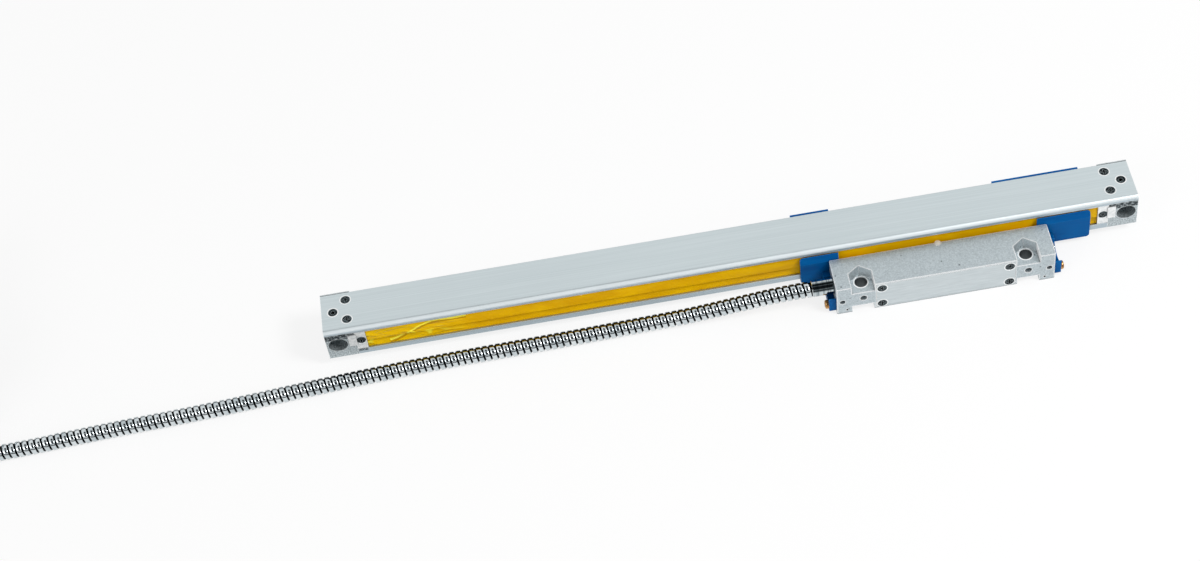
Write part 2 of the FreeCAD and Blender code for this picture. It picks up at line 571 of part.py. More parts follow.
def head_casting():
    """Head body: pockets for its mounting screws, electronics room, blade slot and feet."""
    body = box(HEAD_LEFT, HEAD_RIGHT, HEAD_FRONT, HEAD_BACK, HEAD_BOTTOM, HEAD_TOP)
    upright = [e for e in body.Edges if abs(e.Vertexes[0].Z - e.Vertexes[-1].Z) > 1]
    body = body.makeFillet(HEAD_EDGE, upright)
    plate_half = PLATE_LENGTH / 2 + PLATE_GAP
    recess = box(HEAD_X - plate_half, HEAD_X + plate_half, HEAD_FRONT - 1,
                 HEAD_FRONT + PLATE_THICK + GASKET_THICK, HEAD_BOTTOM - 1, HEAD_TOP - PLATE_ROOF)
    room_front = HEAD_FRONT + PLATE_THICK + GASKET_THICK
    room = box(HEAD_X - ROOM_LENGTH / 2, HEAD_X + ROOM_LENGTH / 2, room_front - 0.1, room_front + ROOM_DEPTH,
               HEAD_BOTTOM + ROOM_FLOOR, HEAD_BOTTOM + ROOM_FLOOR + ROOM_HEIGHT)
    body = body.cut([recess, room])
    for side in (-1, 1):
        x = HEAD_X + side * POCKET_X
        half = POCKET_WIDTH / 2
        shoulder = HEAD_BACK - POCKET_BACK - POCKET_POINT
        outline = ((x - half, HEAD_FRONT - 1), (x + half, HEAD_FRONT - 1), (x + half, shoulder),
                   (x, HEAD_BACK - POCKET_BACK), (x - half, shoulder))
        floor = [(px, py - POCKET_LEAN if py > HEAD_FRONT else py) for px, py in outline]
        pocket = tapered(floor, outline, HEAD_TOP - POCKET_DEPTH, HEAD_TOP)
        hole = rod((x, HEAD_BACK - HEAD_HOLE_Y, HEAD_BOTTOM), (0, 0, 1), HEAD_HOLE / 2, HEAD_HEIGHT)
        step_ends = sorted((HEAD_X + side * (HEAD_LENGTH / 2 - FOOT_LENGTH),
                            HEAD_X + side * (PLATE_LENGTH / 2 + 1.0)))
        step = box(step_ends[0], step_ends[1], HEAD_FRONT - 1, HEAD_BACK + 1,
                   HEAD_BOTTOM - 1, HEAD_BOTTOM + FOOT_RECESS)
        web_hole = rod((x, HEAD_FRONT - 1, HEAD_BOTTOM + FOOT_RECESS + 4.5), (0, 1, 0), WEB_HOLE / 2, 3.5)
        end_hole_x = HEAD_X + side * (HEAD_LENGTH / 2 - 2.5)
        end_hole = rod((end_hole_x, HEAD_FRONT - 1, HEAD_BOTTOM + 7.5), (0, 1, 0),
                       SIDE_HOLE / 2, 2.8)
        pit = rod((HEAD_X + side * (HEAD_LENGTH / 2 - 4.4), HEAD_FRONT - 1, HEAD_BOTTOM + 2.0), (0, 1, 0),
                  PIT_DIA / 2, 1.8)
        tab_hole = rod((HEAD_X + side * (HEAD_LENGTH / 2 + 1), HEAD_BACK - BRACKET_SCREW_Y,
                        HEAD_BOTTOM + BRACKET_SCREW_Z),
                       (-side, 0, 0), GOLD_SHANK / 2 + SCREW_PLAY, 6)
        body = body.cut([pocket, hole, step, web_hole, end_hole, pit, tab_hole])
        for z in (PLATE_MID - PLATE_SCREW_Z, PLATE_MID + PLATE_SCREW_Z):
            plate_hole = rod((HEAD_X + side * PLATE_SCREW_X, HEAD_FRONT, z), (0, 1, 0),
                             CROSS_SHANK / 2 + SCREW_PLAY, 8)
            body = body.cut(plate_hole)
    neck_bore = FERRULE_NECK / 2 + SCREW_PLAY
    gland_bore = rod((HEAD_LEFT - 1, CORD_AXIS_Y, CORD_Z), (1, 0, 0), neck_bore, NECK_LENGTH + 1.1)
    plug_bore = rod((HEAD_RIGHT + 1, CORD_AXIS_Y, CORD_Z), (-1, 0, 0), neck_bore, NECK_LENGTH + 1.1)
    duct_start = Vector(HEAD_LEFT + NECK_LENGTH - 1, CORD_AXIS_Y, CORD_Z)
    duct_end = Vector(HEAD_LEFT + FOOT_LENGTH + 1, HEAD_BACK - 4.6, HEAD_BOTTOM + FOOT_RECESS + 3.0)
    slant = Part.makeCylinder(1.3, (duct_end - duct_start).Length, duct_start, duct_end - duct_start)
    duct = rod(tuple(duct_end), (1, 0, 0), 1.3, HEAD_X - ROOM_LENGTH / 2 - duct_end.x + 1)
    blade_slot = box(HEAD_X - BLADE_LENGTH / 2 - 0.1, HEAD_X + BLADE_LENGTH / 2 + 0.1,
                     HEAD_BACK - BLADE_ROOT - 0.1, HEAD_BACK + 1, BLADE_BOTTOM - 0.05, BLADE_TOP + 0.05)
    pin_seat = rod((HEAD_X, HEAD_BACK - INDEX_PIN_IN, HEAD_TOP - INDEX_PIN_LENGTH), (0, 0, 1),
                   INDEX_PIN / 2 + SCREW_PLAY, INDEX_PIN_LENGTH + 1)
    body = body.cut([gland_bore, plug_bore, slant, duct, blade_slot, pin_seat])
    for x in arm_screw_places():
        y = HEAD_BACK - ARM_SCREW_IN
        body = body.cut(rod((x, y, HEAD_BOTTOM - 1), (0, 0, 1), SMALL_HEAD / 2 + SCREW_PLAY, 2.2))
        body = body.cut(rod((x, y, HEAD_BOTTOM), (0, 0, 1), SMALL_SHANK / 2 + SCREW_PLAY,
                            BLADE_TOP + 2.0 - HEAD_BOTTOM))
    return body.removeSplitter()


def arm_screw_places():
    """X of the grub screws that hold the blade in the head."""
    reach = BLADE_LENGTH / 2 - BLADE_SCREW_IN
    return (HEAD_X - reach, HEAD_X + reach)


def arm_screws():
    """Two screws from below through the head that clamp the blade."""
    screw = Part.makeCylinder(SMALL_SHANK / 2, BLADE_TOP + 1.7 - HEAD_BOTTOM - 1.2, Vector(0, 0, 1.2))
    screw = screw.fuse(Part.makeCylinder(SMALL_HEAD / 2, 1.0, Vector(0, 0, 0.2)))
    return group([placed(screw, x, HEAD_BACK - ARM_SCREW_IN, HEAD_BOTTOM) for x in arm_screw_places()])


def cover_plate():
    """Plate that closes the electronics room."""
    plate = box(HEAD_X - PLATE_LENGTH / 2, HEAD_X + PLATE_LENGTH / 2, HEAD_FRONT, HEAD_FRONT + PLATE_THICK,
                HEAD_BOTTOM, PLATE_TOP)
    for x, z in plate_screw_places():
        sink = Part.makeCone(CROSS_DIA / 2 + SCREW_PLAY, CROSS_SHANK / 2 + SCREW_PLAY, CROSS_HEAD,
                             Vector(x, HEAD_FRONT, z), Vector(0, 1, 0))
        hole = rod((x, HEAD_FRONT, z), (0, 1, 0), CROSS_SHANK / 2 + SCREW_PLAY, PLATE_THICK)
        plate = plate.cut([sink, hole])
    return plate.removeSplitter()


def plate_screw_places():
    """X and Z of the four cover plate screws."""
    places = []
    for side in (-1, 1):
        for step in (-1, 1):
            places.append((HEAD_X + side * PLATE_SCREW_X, PLATE_MID + step * PLATE_SCREW_Z))
    return places


def cover_gasket():
    """Rubber frame between plate and head."""
    y0 = HEAD_FRONT + PLATE_THICK
    gasket = box(HEAD_X - PLATE_LENGTH / 2, HEAD_X + PLATE_LENGTH / 2, y0, y0 + GASKET_THICK,
                 HEAD_BOTTOM, PLATE_TOP)
    window = box(HEAD_X - ROOM_LENGTH / 2, HEAD_X + ROOM_LENGTH / 2, y0 - 1, y0 + 1,
                 HEAD_BOTTOM + ROOM_FLOOR, HEAD_BOTTOM + ROOM_FLOOR + ROOM_HEIGHT)
    holes = [rod((x, y0 - 1, z), (0, 1, 0), CROSS_SHANK / 2 + SCREW_PLAY, 3) for x, z in plate_screw_places()]
    return gasket.cut([window] + holes)


def cover_screws():
    """Four countersunk cross-head screws of the plate."""
    screw = turned(cross_screw(CROSS_DIA, CROSS_HEAD, CROSS_SHANK, 5.5, True), (0, 1, 0))
    return group([placed(screw, x, HEAD_FRONT, z) for x, z in plate_screw_places()])


def head_circuit_board():
    """Board with the signal electronics, on two posts in the room."""
    y0 = HEAD_FRONT + PLATE_THICK + GASKET_THICK + ROOM_DEPTH
    z0 = HEAD_BOTTOM + ROOM_FLOOR
    half = ROOM_LENGTH / 2 - CIRCUIT_GAP
    back = y0 - 1.4
    front = back - CIRCUIT_THICK
    board = box(HEAD_X - half, HEAD_X + half, front, back, z0 + 1.0, z0 + ROOM_HEIGHT - 1.4)
    chips = [box(HEAD_X + x - w, HEAD_X + x + w, front - 1.6, front, z0 + 3.0, z0 + 3.0 + h)
             for x, w, h in ((-12.0, 4.0, 6.0), (-1.0, 3.0, 5.0), (10.0, 5.0, 4.0))]
    reach = half - CIRCUIT_GAP
    posts = [rod((HEAD_X + x, back, z0 + ROOM_HEIGHT / 2), (0, 1, 0), 1.5, y0 - back)
             for x in (-reach, reach)]
    return board.fuse(chips + posts).removeSplitter()


def scanning_blade():
    """Thin steel blade from the head through the lips, with a lug for the coupling wire."""
    tip = Y_FRONT + BLADE_REACH
    blade = box(HEAD_X - BLADE_LENGTH / 2, HEAD_X + BLADE_LENGTH / 2, HEAD_BACK - BLADE_ROOT, tip,
                BLADE_BOTTOM, BLADE_TOP)
    for x in arm_screw_places():
        blade = blade.cut(rod((x, HEAD_BACK - ARM_SCREW_IN, BLADE_BOTTOM - 1), (0, 0, 1),
                              SMALL_SHANK / 2 + SCREW_PLAY, 3))
    lug_x = HEAD_X - WIRE_HALF
    lug = box(lug_x - 1.0, lug_x + 1.0, tip - 0.4, tip + LUG_DEPTH - 0.4, WIRE_Z - 0.6, BLADE_BOTTOM)
    bore = rod((lug_x - 2, WIRE_Y, WIRE_Z), (1, 0, 0), WIRE_DIA / 2 + 0.03, 4)
    return blade.fuse(lug).cut(bore).removeSplitter()


def coupling_wire():
    """Spring wire that pulls the carriage along without bending it."""
    return rod((HEAD_X - WIRE_HALF - 1.2, WIRE_Y, WIRE_Z), (1, 0, 0), WIRE_DIA / 2, 2 * WIRE_HALF + 2.4)


def carriage():
    """Carriage frame: deck below the glass, roller ears, roller posts and the lamp bridge."""
    half = DECK_LENGTH / 2
    frame = box(HEAD_X - half, HEAD_X + half, DECK_FRONT, DECK_BACK, DECK_BOTTOM, DECK_TOP)
    cuts = []
    for x, y in FACE_ROLLERS:
        reach = ROLLER_WIDTH / 2 + SIDE_PLAY
        for side in (-1, 1):
            rows = sorted((y + side * reach, y + side * (reach + EAR_THICK)))
            ear = box(HEAD_X + x - 1.6, HEAD_X + x + 1.6, rows[0], rows[1], DECK_TOP - 0.5, EAR_TOP)
            frame = frame.fuse(ear)
        cuts.append(rod((HEAD_X + x, y - 4, face_roller_z()), (0, 1, 0), ROLLER_BORE / 2, 8))
    for x in EDGE_ROLLERS:
        post = rod((HEAD_X + x, edge_roller_y(), DECK_TOP - 0.5), (0, 0, 1), 1.6,
                   GLASS_BOTTOM - 0.2 - DECK_TOP + 0.5)
        frame = frame.fuse(post)
        cuts.append(rod((HEAD_X + x, edge_roller_y(), DECK_TOP), (0, 0, 1), ROLLER_BORE / 2, 9))
    x0 = HEAD_X + OPTICS_X - BRIDGE_LENGTH / 2
    x1 = HEAD_X + OPTICS_X + BRIDGE_LENGTH / 2
    column = box(x0, x1, DECK_FRONT, DECK_FRONT + BRIDGE_THICK, DECK_TOP - 0.5, ARM_TOP)
    arm = box(x0, x1, DECK_FRONT, TRACK_Y + 4.4, ARM_BOTTOM, ARM_TOP)
    lug_x = HEAD_X + WIRE_HALF
    lug = box(lug_x - 1.0, lug_x + 1.0, WIRE_Y - 0.6, DECK_FRONT + 0.5, DECK_TOP - 1.0, BLADE_BOTTOM - 0.2)
    frame = frame.fuse([column, arm, lug])
    cuts.append(rod((lug_x - 2, WIRE_Y, WIRE_Z), (1, 0, 0), WIRE_DIA / 2 + 0.03, 4))
    cuts.append(rod((HEAD_X + OPTICS_X, TRACK_Y, ARM_BOTTOM - 1), (0, 0, 1), LENS_DIA / 2 + SCREW_PLAY, 4))
    return frame.cut(cuts).removeSplitter()


def face_roller_z():
    """Height of the axles of the rollers under the glass."""
    return GLASS_BOTTOM - ROLLER_GAP - ROLLER_DIA / 2


def edge_roller_y():
    """Y of the axles of the rollers at the glass's front edge."""
    return GLASS_FRONT - ROLLER_GAP - ROLLER_DIA / 2


def roller(index):
    """One small ball bearing, shown as a ring with its running bore."""
    if index < len(FACE_ROLLERS):
        x, y = FACE_ROLLERS[index]
        start = (HEAD_X + x, y - ROLLER_WIDTH / 2, face_roller_z())
        direction = (0, 1, 0)
    else:
        x = EDGE_ROLLERS[index - len(FACE_ROLLERS)]
        start = (HEAD_X + x, edge_roller_y(), GLASS_BOTTOM + 0.1)
        direction = (0, 0, 1)
    ring = rod(start, direction, ROLLER_DIA / 2, ROLLER_WIDTH)
    rims = [e for e in ring.Edges if abs(e.Length - math.pi * ROLLER_DIA) < 0.01]
    ring = ring.makeChamfer(0.15, rims)
    return ring.cut(rod(start, direction, ROLLER_BORE / 2 + AXLE_GAP, ROLLER_WIDTH))


def roller_axles():
    """Pins that carry the five rollers."""
    pins = []
    for x, y in FACE_ROLLERS:
        reach = ROLLER_WIDTH / 2 + SIDE_PLAY + EAR_THICK
        pins.append(rod((HEAD_X + x, y - reach, face_roller_z()), (0, 1, 0), ROLLER_BORE / 2, 2 * reach))
    for x in EDGE_ROLLERS:
        pins.append(rod((HEAD_X + x, edge_roller_y(), DECK_TOP), (0, 0, 1), ROLLER_BORE / 2,
                        GLASS_TOP + 0.4 - DECK_TOP))
    return group(pins)


def lamp_board():
    """Lamp board on top of the bridge."""
    x0 = HEAD_X + OPTICS_X
    board = box(x0 - 5.5, x0 + 5.5, DECK_FRONT + 0.6, TRACK_Y + 4.0, ARM_TOP, ARM_TOP + BOARD_THICK)
    lamp = rod((x0, TRACK_Y, ARM_TOP - 0.2), (0, 0, 1), 1.2, 0.3)
    return board.fuse(lamp)


def lamp_lens():
    """Lens in the bridge that spreads the light over the glass."""
    lens = rod((HEAD_X + OPTICS_X, TRACK_Y, ARM_BOTTOM - 0.1), (0, 0, 1), LENS_DIA / 2, LENS_THICK)
    return lens


def scanning_reticle():
    """Glass plate with the four scanning windows, just under the grating."""
    half = RETICLE_SIZE / 2
    top = GLASS_BOTTOM - RETICLE_GAP
    x0 = HEAD_X + OPTICS_X
    return box(x0 - half, x0 + half, TRACK_Y - 2.4, TRACK_Y + 2.4, top - RETICLE_THICK, top)


def photocell_board():
    """Board with photocells on a pedestal, which carries the reticle."""
    half = RETICLE_SIZE / 2
    x0 = HEAD_X + OPTICS_X
    low = GLASS_BOTTOM - RETICLE_GAP - RETICLE_THICK
    pedestal = box(x0 - half, x0 + half, TRACK_Y - 2.4, TRACK_Y + 2.4, DECK_TOP, low)
    board = box(x0 - half - 1.0, x0 + half + 1.0, TRACK_Y - 3.4, TRACK_Y + 3.4,
                DECK_TOP, DECK_TOP + BOARD_THICK)
    return board.fuse(pedestal).removeSplitter()


def signal_ribbon():
    """Thin ribbon cable along the blade and down to the deck of the carriage."""
    x0 = HEAD_X - 4.0
    tip = Y_FRONT + BLADE_REACH
    low = DECK_TOP
    thick = 0.08
    outline = (
        (HEAD_BACK, BLADE_TOP), (tip + 0.05, BLADE_TOP), (DECK_FRONT + 0.7, low), (DECK_FRONT + 3.3, low),
        (DECK_FRONT + 3.3, low + thick), (DECK_FRONT + 0.75, low + thick), (tip + 0.1, BLADE_TOP + thick),
        (HEAD_BACK, BLADE_TOP + thick),
    )
    return bar_x(outline, x0 - 3.0, x0 + 3.0)


def bracket(span, back_start, tab_ends, free_end):
    """Plastic transport bracket: a U around the housing with a tab on the head's end face."""
    x0, x1 = span
    front_in = Y_FRONT - BRACKET_PLAY
    front_out = front_in - BRACKET_WALL
    back_in = Y_BACK + BRACKET_PLAY
    back_out = back_in + BRACKET_WALL - 0.1
    floor_top = Z_BOTTOM - BRACKET_PLAY
    floor_low = floor_top - BRACKET_FLOOR
    section = (
        (front_out, floor_low), (back_out, floor_low),
        (back_out, BRACKET_BACK_TOP), (back_in, BRACKET_BACK_TOP),
        (back_in, floor_top), (front_in, floor_top), (front_in, BRACKET_TOP), (front_in - 0.2, BRACKET_TOP),
        (front_out, BRACKET_TOP - BRACKET_FOLD),
    )
    clip = bar_x(section, x0, x1)
    if back_start < x0:
        wall = ((back_in, floor_low), (back_out, floor_low),
                (back_out, BRACKET_BACK_TOP), (back_in, BRACKET_BACK_TOP))
        clip = clip.fuse(bar_x(wall, back_start, x0))
    tab_front = HEAD_FRONT + TAB_FRONT
    outline = (
        (front_out + 0.2, floor_low), (front_out, floor_low), (front_out - 1.5, HEAD_BOTTOM + TAB_BOTTOM),
        (tab_front + 1.0, HEAD_BOTTOM + TAB_BOTTOM), (tab_front, HEAD_BOTTOM + TAB_BOTTOM + 1.0),
        (tab_front, TAB_TOP - 0.6), (tab_front + 0.6, TAB_TOP), (front_out + 0.2, TAB_TOP),
    )
    tab = bar_x(outline, tab_ends[0], tab_ends[1])
    relief = rod((tab_ends[0] - 1, CORD_AXIS_Y, CORD_Z), (1, 0, 0), TAB_RELIEF, TAB_THICK + 2)
    clip = clip.fuse(tab.cut(relief))
    outer = x0 if free_end < 0 else x1
    for z, up in ((floor_low, 1), (BRACKET_TOP, -1)):
        inner = outer - free_end * BRACKET_CORNER
        other_z = z + up * BRACKET_CORNER
        cube = box(min(outer, inner), max(outer, inner), front_out - 1, front_in + 0.01,
                   min(z, other_z), max(z, other_z))
        centre = (outer - free_end * BRACKET_CORNER, front_out - 2, z + up * BRACKET_CORNER)
        clip = clip.cut(cube.cut(rod(centre, (0, 1, 0), BRACKET_CORNER, 6)))
    hole = rod((tab_ends[0] - 1, HEAD_BACK - BRACKET_SCREW_Y, HEAD_BOTTOM + BRACKET_SCREW_Z), (1, 0, 0),
               GOLD_SHANK / 2 + SCREW_PLAY, TAB_THICK + 2)
    return clip.cut(hole).removeSplitter()


def bracket_screws():
    """Yellow zinc pan-head screws that hold the brackets to the head's ends."""
    screw = cross_screw(GOLD_HEAD, GOLD_HEIGHT, GOLD_SHANK, TAB_THICK + 4.0, False)
    y = HEAD_BACK - BRACKET_SCREW_Y
    z = HEAD_BOTTOM + BRACKET_SCREW_Z
    reach = TAB_THICK + GOLD_HEIGHT
    left = placed(turned(screw, (1, 0, 0)), HEAD_LEFT - reach, y, z)
    right = placed(turned(screw, (-1, 0, 0)), HEAD_RIGHT + reach, y, z)
    return group([left, right])


def index_pin():
    """Steel pin half sunk in the head's back edge, which marks the reading line."""
    return rod((HEAD_X, HEAD_BACK - INDEX_PIN_IN, HEAD_TOP - INDEX_PIN_LENGTH), (0, 0, 1), INDEX_PIN / 2,
               INDEX_PIN_LENGTH)


def blanking_plug():
    """Plug in the cable outlet that is not used."""
    cap = rod((HEAD_RIGHT, CORD_AXIS_Y, CORD_Z), (1, 0, 0), BLANK_DIA / 2, BLANK_PROUD)
    stem = rod((HEAD_RIGHT - 4.0, CORD_AXIS_Y, CORD_Z), (1, 0, 0), FERRULE_NECK / 2, 4.0)
    around = math.pi * BLANK_DIA
    rim = [e for e in cap.Edges if e.Vertexes[0].X > HEAD_RIGHT + 0.5 and abs(e.Length - around) < 0.01]
    return cap.makeFillet(0.4, rim).fuse(stem).removeSplitter()


def cable_ferrule():
    """Polished steel ferrule that joins the armour to the head."""
    sleeve = rod((HEAD_LEFT - FERRULE_LENGTH, CORD_AXIS_Y, CORD_Z), (1, 0, 0), FERRULE_DIA / 2,
                 FERRULE_LENGTH)
    rims = [e for e in sleeve.Edges if abs(e.Length - math.pi * FERRULE_DIA) < 0.01]
    neck = rod((HEAD_LEFT, CORD_AXIS_Y, CORD_Z), (1, 0, 0), FERRULE_NECK / 2, NECK_LENGTH)
    return sleeve.makeChamfer(0.2, rims).fuse(neck).removeSplitter()


def cord_tube(points, label):
    """Round tube along straight runs joined by tangent arcs."""
    corners = [Vector(*p) for p in points]
    edges = []
    start = corners[0]
    radii = []
    for before, corner, after in zip(corners, corners[1:], corners[2:]):
        into = corner - before
        out = after - corner
        turn = into.getAngle(out)
        reach = 0.45 * min(into.Length, out.Length)
        radii.append(reach / math.tan(turn / 2))
        into.normalize()
        out.normalize()
        arc_start = corner - into * reach
        arc_end = corner + out * reach
        middle = corner + (out - into).normalize() * radii[-1] * (1 / math.cos(turn / 2) - 1)
        edges.append(Part.LineSegment(start, arc_start).toShape())
        edges.append(Part.Arc(arc_start, middle, arc_end).toShape())
        start = arc_end
    edges.append(Part.LineSegment(start, corners[-1]).toShape())
    path = Part.Wire(edges)
    direction = corners[1] - corners[0]
    circle = Part.Wire(Part.makeCircle(CORD_DIA / 2, corners[0], direction))
    tube = path.makePipeShell([circle], True, True)
    expected = math.pi * CORD_DIA ** 2 / 4 * path.Length
    print(label, "length", round(path.Length, 1), "smallest radius", round(min(radii), 1),
          "volume over section times length", round(tube.Volume / expected, 4))
    return tube


def lead_route():
    """Route of the cable from the ferrule to the coil."""
    start = (MOUTH_X, CORD_AXIS_Y, CORD_Z)
    end = (COIL_X + COIL_STRAIGHT / 2 + COIL_STUB, LEAD_POINTS[-1][1], LIE_Z)
    return (start,) + tuple((MOUTH_X + x, y, z) for x, y, z in LEAD_POINTS) + (end,)


def tail_route():
    """Route of the cable from the coil to the plug, round on top of the coil."""
    start = (COIL_X + STUB_END, COIL_Y + TAIL_POINTS[0][1], COIL_TOP + STUB_RISE)
    end = (PLUG_X, PLUG_Y, PLUG_Z)
    return (start,) + tuple((COIL_X + x, COIL_Y + y, COIL_TOP + z) for x, y, z in TAIL_POINTS) + (end,)


def oval(radius):
    """Upright oval block as high as the coil, with round ends of one radius."""
    left = COIL_X - COIL_STRAIGHT / 2
    right = COIL_X + COIL_STRAIGHT / 2
    height = COIL_TOP - HEAD_BOTTOM
    ends = [rod((x, COIL_Y, HEAD_BOTTOM), (0, 0, 1), radius, height) for x in (left, right)]
    middle = box(left, right, COIL_Y - radius, COIL_Y + radius, HEAD_BOTTOM, COIL_TOP)
    return middle.fuse(ends).removeSplitter()


def cable_coil():
    """Outer shape of the wound cable, an oval ring with the straight pieces that lead in and out."""
    ring = oval(COIL_OUTER + CORD_DIA / 2).cut(oval(COIL_INNER - CORD_DIA / 2))
    way_in = rod((COIL_X + COIL_STRAIGHT / 2 - 3.0, COIL_Y - COIL_OUTER, LIE_Z), (1, 0, 0), STUB_DIA / 2,
                 COIL_STUB + 3.0)
    x, y, z = tail_route()[0]
    way_out = rod((x, y, z), (1, 0, 0), STUB_DIA / 2, COIL_STUB_OUT)
    under = box(x, x + COIL_STUB_OUT, y - STUB_DIA / 2, y + STUB_DIA / 2, COIL_TOP - 1.0, z)
    return ring.fuse([way_in, way_out, under])


def hood_start():
    """X where the plug's hood begins."""
    return PLUG_X + PLUG_BOOT


def hood_end():
    """X where the plug's hood ends."""
    return hood_start() + HOOD_LENGTH


def plug_boot():
    """Rubber boot at the cable entry, clamped between the two hood halves."""
    y = PLUG_Y
    cone = Part.makeCone(CORD_DIA / 2 + 0.6, CORD_DIA / 2 + 2.0, PLUG_BOOT,
                         Vector(PLUG_X, y, PLUG_Z), Vector(1, 0, 0))
    collar = rod((hood_start(), y, PLUG_Z), (1, 0, 0), CORD_DIA / 2 + 0.4, 4.0)
    return cone.fuse(collar).removeSplitter()


def hood_half(side):
    """One moulded half of the plug's hood."""
    y = PLUG_Y
    x0 = hood_start()
    x1 = hood_end()
    wide = HOOD_WIDTH / 2
    narrow = CORD_DIA / 2 + 3.5
    rows = sorted((PLUG_Z, PLUG_Z + side * HOOD_HEIGHT / 2))
    throat_end = x0 + HOOD_THROAT
    outline = ((x0, y - narrow), (x0 + 4, y - narrow), (throat_end, y - wide), (x1, y - wide),
               (x1, y + wide), (throat_end, y + wide), (x0 + 4, y + narrow), (x0, y + narrow))
    shell = bar_z(outline, rows[0], rows[1])
    outer_z = PLUG_Z + side * HOOD_HEIGHT / 2
    soft = [e for e in shell.Edges
            if abs(e.Vertexes[0].Z - outer_z) < 1e-6 and abs(e.Vertexes[-1].Z - outer_z) < 1e-6]
    shell = shell.makeFillet(1.2, soft)
    low = rows[0] if side > 0 else rows[0] + HOOD_WALL
    high = rows[1] - HOOD_WALL if side > 0 else rows[1]
    room = box(throat_end - 2, x1 - 1.8, y - wide + HOOD_WALL + 4.4, y + wide - HOOD_WALL - 4.4, low, high)
    entry = rod((x0 - 1, y, PLUG_Z), (1, 0, 0), CORD_DIA / 2 + 0.4 + SCREW_PLAY, 5.1)
    throat = rod((x0, y, PLUG_Z), (1, 0, 0), 2.6, HOOD_THROAT - 1)
    clear = (SHELL_WIDTH - 1.1) / 2 + 0.2
    window = box(x1 - 2, x1 + 1, y - clear, y + clear, low, high)
    half = shell.cut([room, entry, throat, window])
    for step in (-1, 1):
        row = y + step * JACK_SPACING / 2
        half = half.cut(rod((x0, row, PLUG_Z), (1, 0, 0), 1.6, HOOD_LENGTH + 1))
        half = half.cut(rod((x0 - 1, row, PLUG_Z), (1, 0, 0), JACK_DIA / 2 + 0.4, HOOD_THROAT + 1))
    return half.removeSplitter()


def d_outline(width, height, lean):
    """Four corners of the D shape as (y, z) about the plug's axis."""
    return ((-width / 2, height / 2), (width / 2, height / 2),
            (width / 2 - lean, -height / 2), (-width / 2 + lean, -height / 2))


def plug_shell():
    """Nickel-plated flange with the D-shaped collar."""
    y = PLUG_Y
    x0 = hood_end()
    flange = box(x0, x0 + FLANGE_THICK, y - HOOD_WIDTH / 2, y + HOOD_WIDTH / 2, PLUG_Z - FLANGE_HEIGHT / 2,
                 PLUG_Z + FLANGE_HEIGHT / 2)
    outer = bar_x([(y + a, PLUG_Z + b) for a, b in d_outline(SHELL_WIDTH, SHELL_HEIGHT, 1.2)],
                  x0, x0 + SHELL_REACH)
    inner = bar_x([(y + a, PLUG_Z + b) for a, b in d_outline(SHELL_WIDTH - 1, SHELL_HEIGHT - 1, 1.2)],
                  x0 - 1, x0 + SHELL_REACH + 1)
    shell = flange.fuse(outer).cut(inner)
    for step in (-1, 1):
        shell = shell.cut(rod((x0 - 1, y + step * JACK_SPACING / 2, PLUG_Z), (1, 0, 0), 1.6, 4))
    return shell.removeSplitter()


def contact_places():
    """Y and Z offsets of the nine contacts."""
    rows = [((i - 2) * PIN_PITCH, ROW_PITCH / 2) for i in range(5)]
    rows += [((i - 1.5) * PIN_PITCH, -ROW_PITCH / 2) for i in range(4)]
    return rows


def plug_insert():
    """Black insulator block with nine contact holes."""
    y = PLUG_Y
    x0 = hood_end()
    block = bar_x([(y + a, PLUG_Z + b) for a, b in d_outline(SHELL_WIDTH - 1.1, SHELL_HEIGHT - 1.1, 1.2)],
                  x0 - 4.0, x0 + SHELL_REACH - 0.3)
    holes = [rod((x0 + 1.0, y + a, PLUG_Z + b), (1, 0, 0), CONTACT_DIA / 2, SHELL_REACH)
             for a, b in contact_places()]
    return block.cut(holes)


def plug_contacts():
    """Nine gold-plated contact sleeves behind the insulator."""
    y = PLUG_Y
    x0 = hood_end()
    return group([rod((x0 - 7.0, y + a, PLUG_Z + b), (1, 0, 0), CONTACT_DIA / 2, 3.0)
                  for a, b in contact_places()])


def jack_screws():
    """Two long screws that lock the plug to its socket."""
    y = PLUG_Y
    screws = []
    for step in (-1, 1):
        row = y + step * JACK_SPACING / 2
        throat_end = hood_start() + HOOD_THROAT
        knob = rod((throat_end - JACK_LENGTH, row, PLUG_Z), (1, 0, 0), JACK_DIA / 2, JACK_LENGTH)
        shank = rod((throat_end, row, PLUG_Z), (1, 0, 0), 1.5, HOOD_LENGTH - HOOD_THROAT + 5.0)
        screws.append(knob.fuse(shank))
    return group(screws)


def end_block_screws():
    """Four countersunk screws from the top into the end blocks."""
    screw = cross_screw(CROSS_DIA, CROSS_HEAD, CROSS_SHANK, 5.5, True)
    places = [(side * (HALF - COVER_SCREW_IN), y) for side in (-1, 1) for y in cover_screw_rows()]
    return group([placed(screw, x, y, Z_TOP) for x, y in places])


def air_port_screws():
    """Two hexagon-socket plugs in the air ports."""
    body = Part.makeCylinder(PORT_DIA / 2, 4.2, Vector(0, 0, -4.3))
    key = [Vector(math.cos(math.radians(60 * i)), math.sin(math.radians(60 * i)), -2.4) for i in range(6)]
    socket = Part.Face(Part.makePolygon(key + key[:1])).extrude(Vector(0, 0, 3))
    plug = body.cut(socket)
    return group([placed(plug, side * (HALF - PORT_IN), port_row(), Z_TOP - 0.1) for side in (-1, 1)])


def seal_clamp_screws():
    """Two cross-head screws of the seal clamps."""
    screw = turned(cross_screw(CROSS_DIA, CROSS_HEAD, CROSS_SHANK, 4.4, True), (0, 1, 0))
    places = [side * (BLOCK_X - CLAMP_LENGTH / 2) for side in (-1, 1)]
    return group([placed(screw, x, Y_FRONT + 0.1, clamp_screw_z()) for x in places])


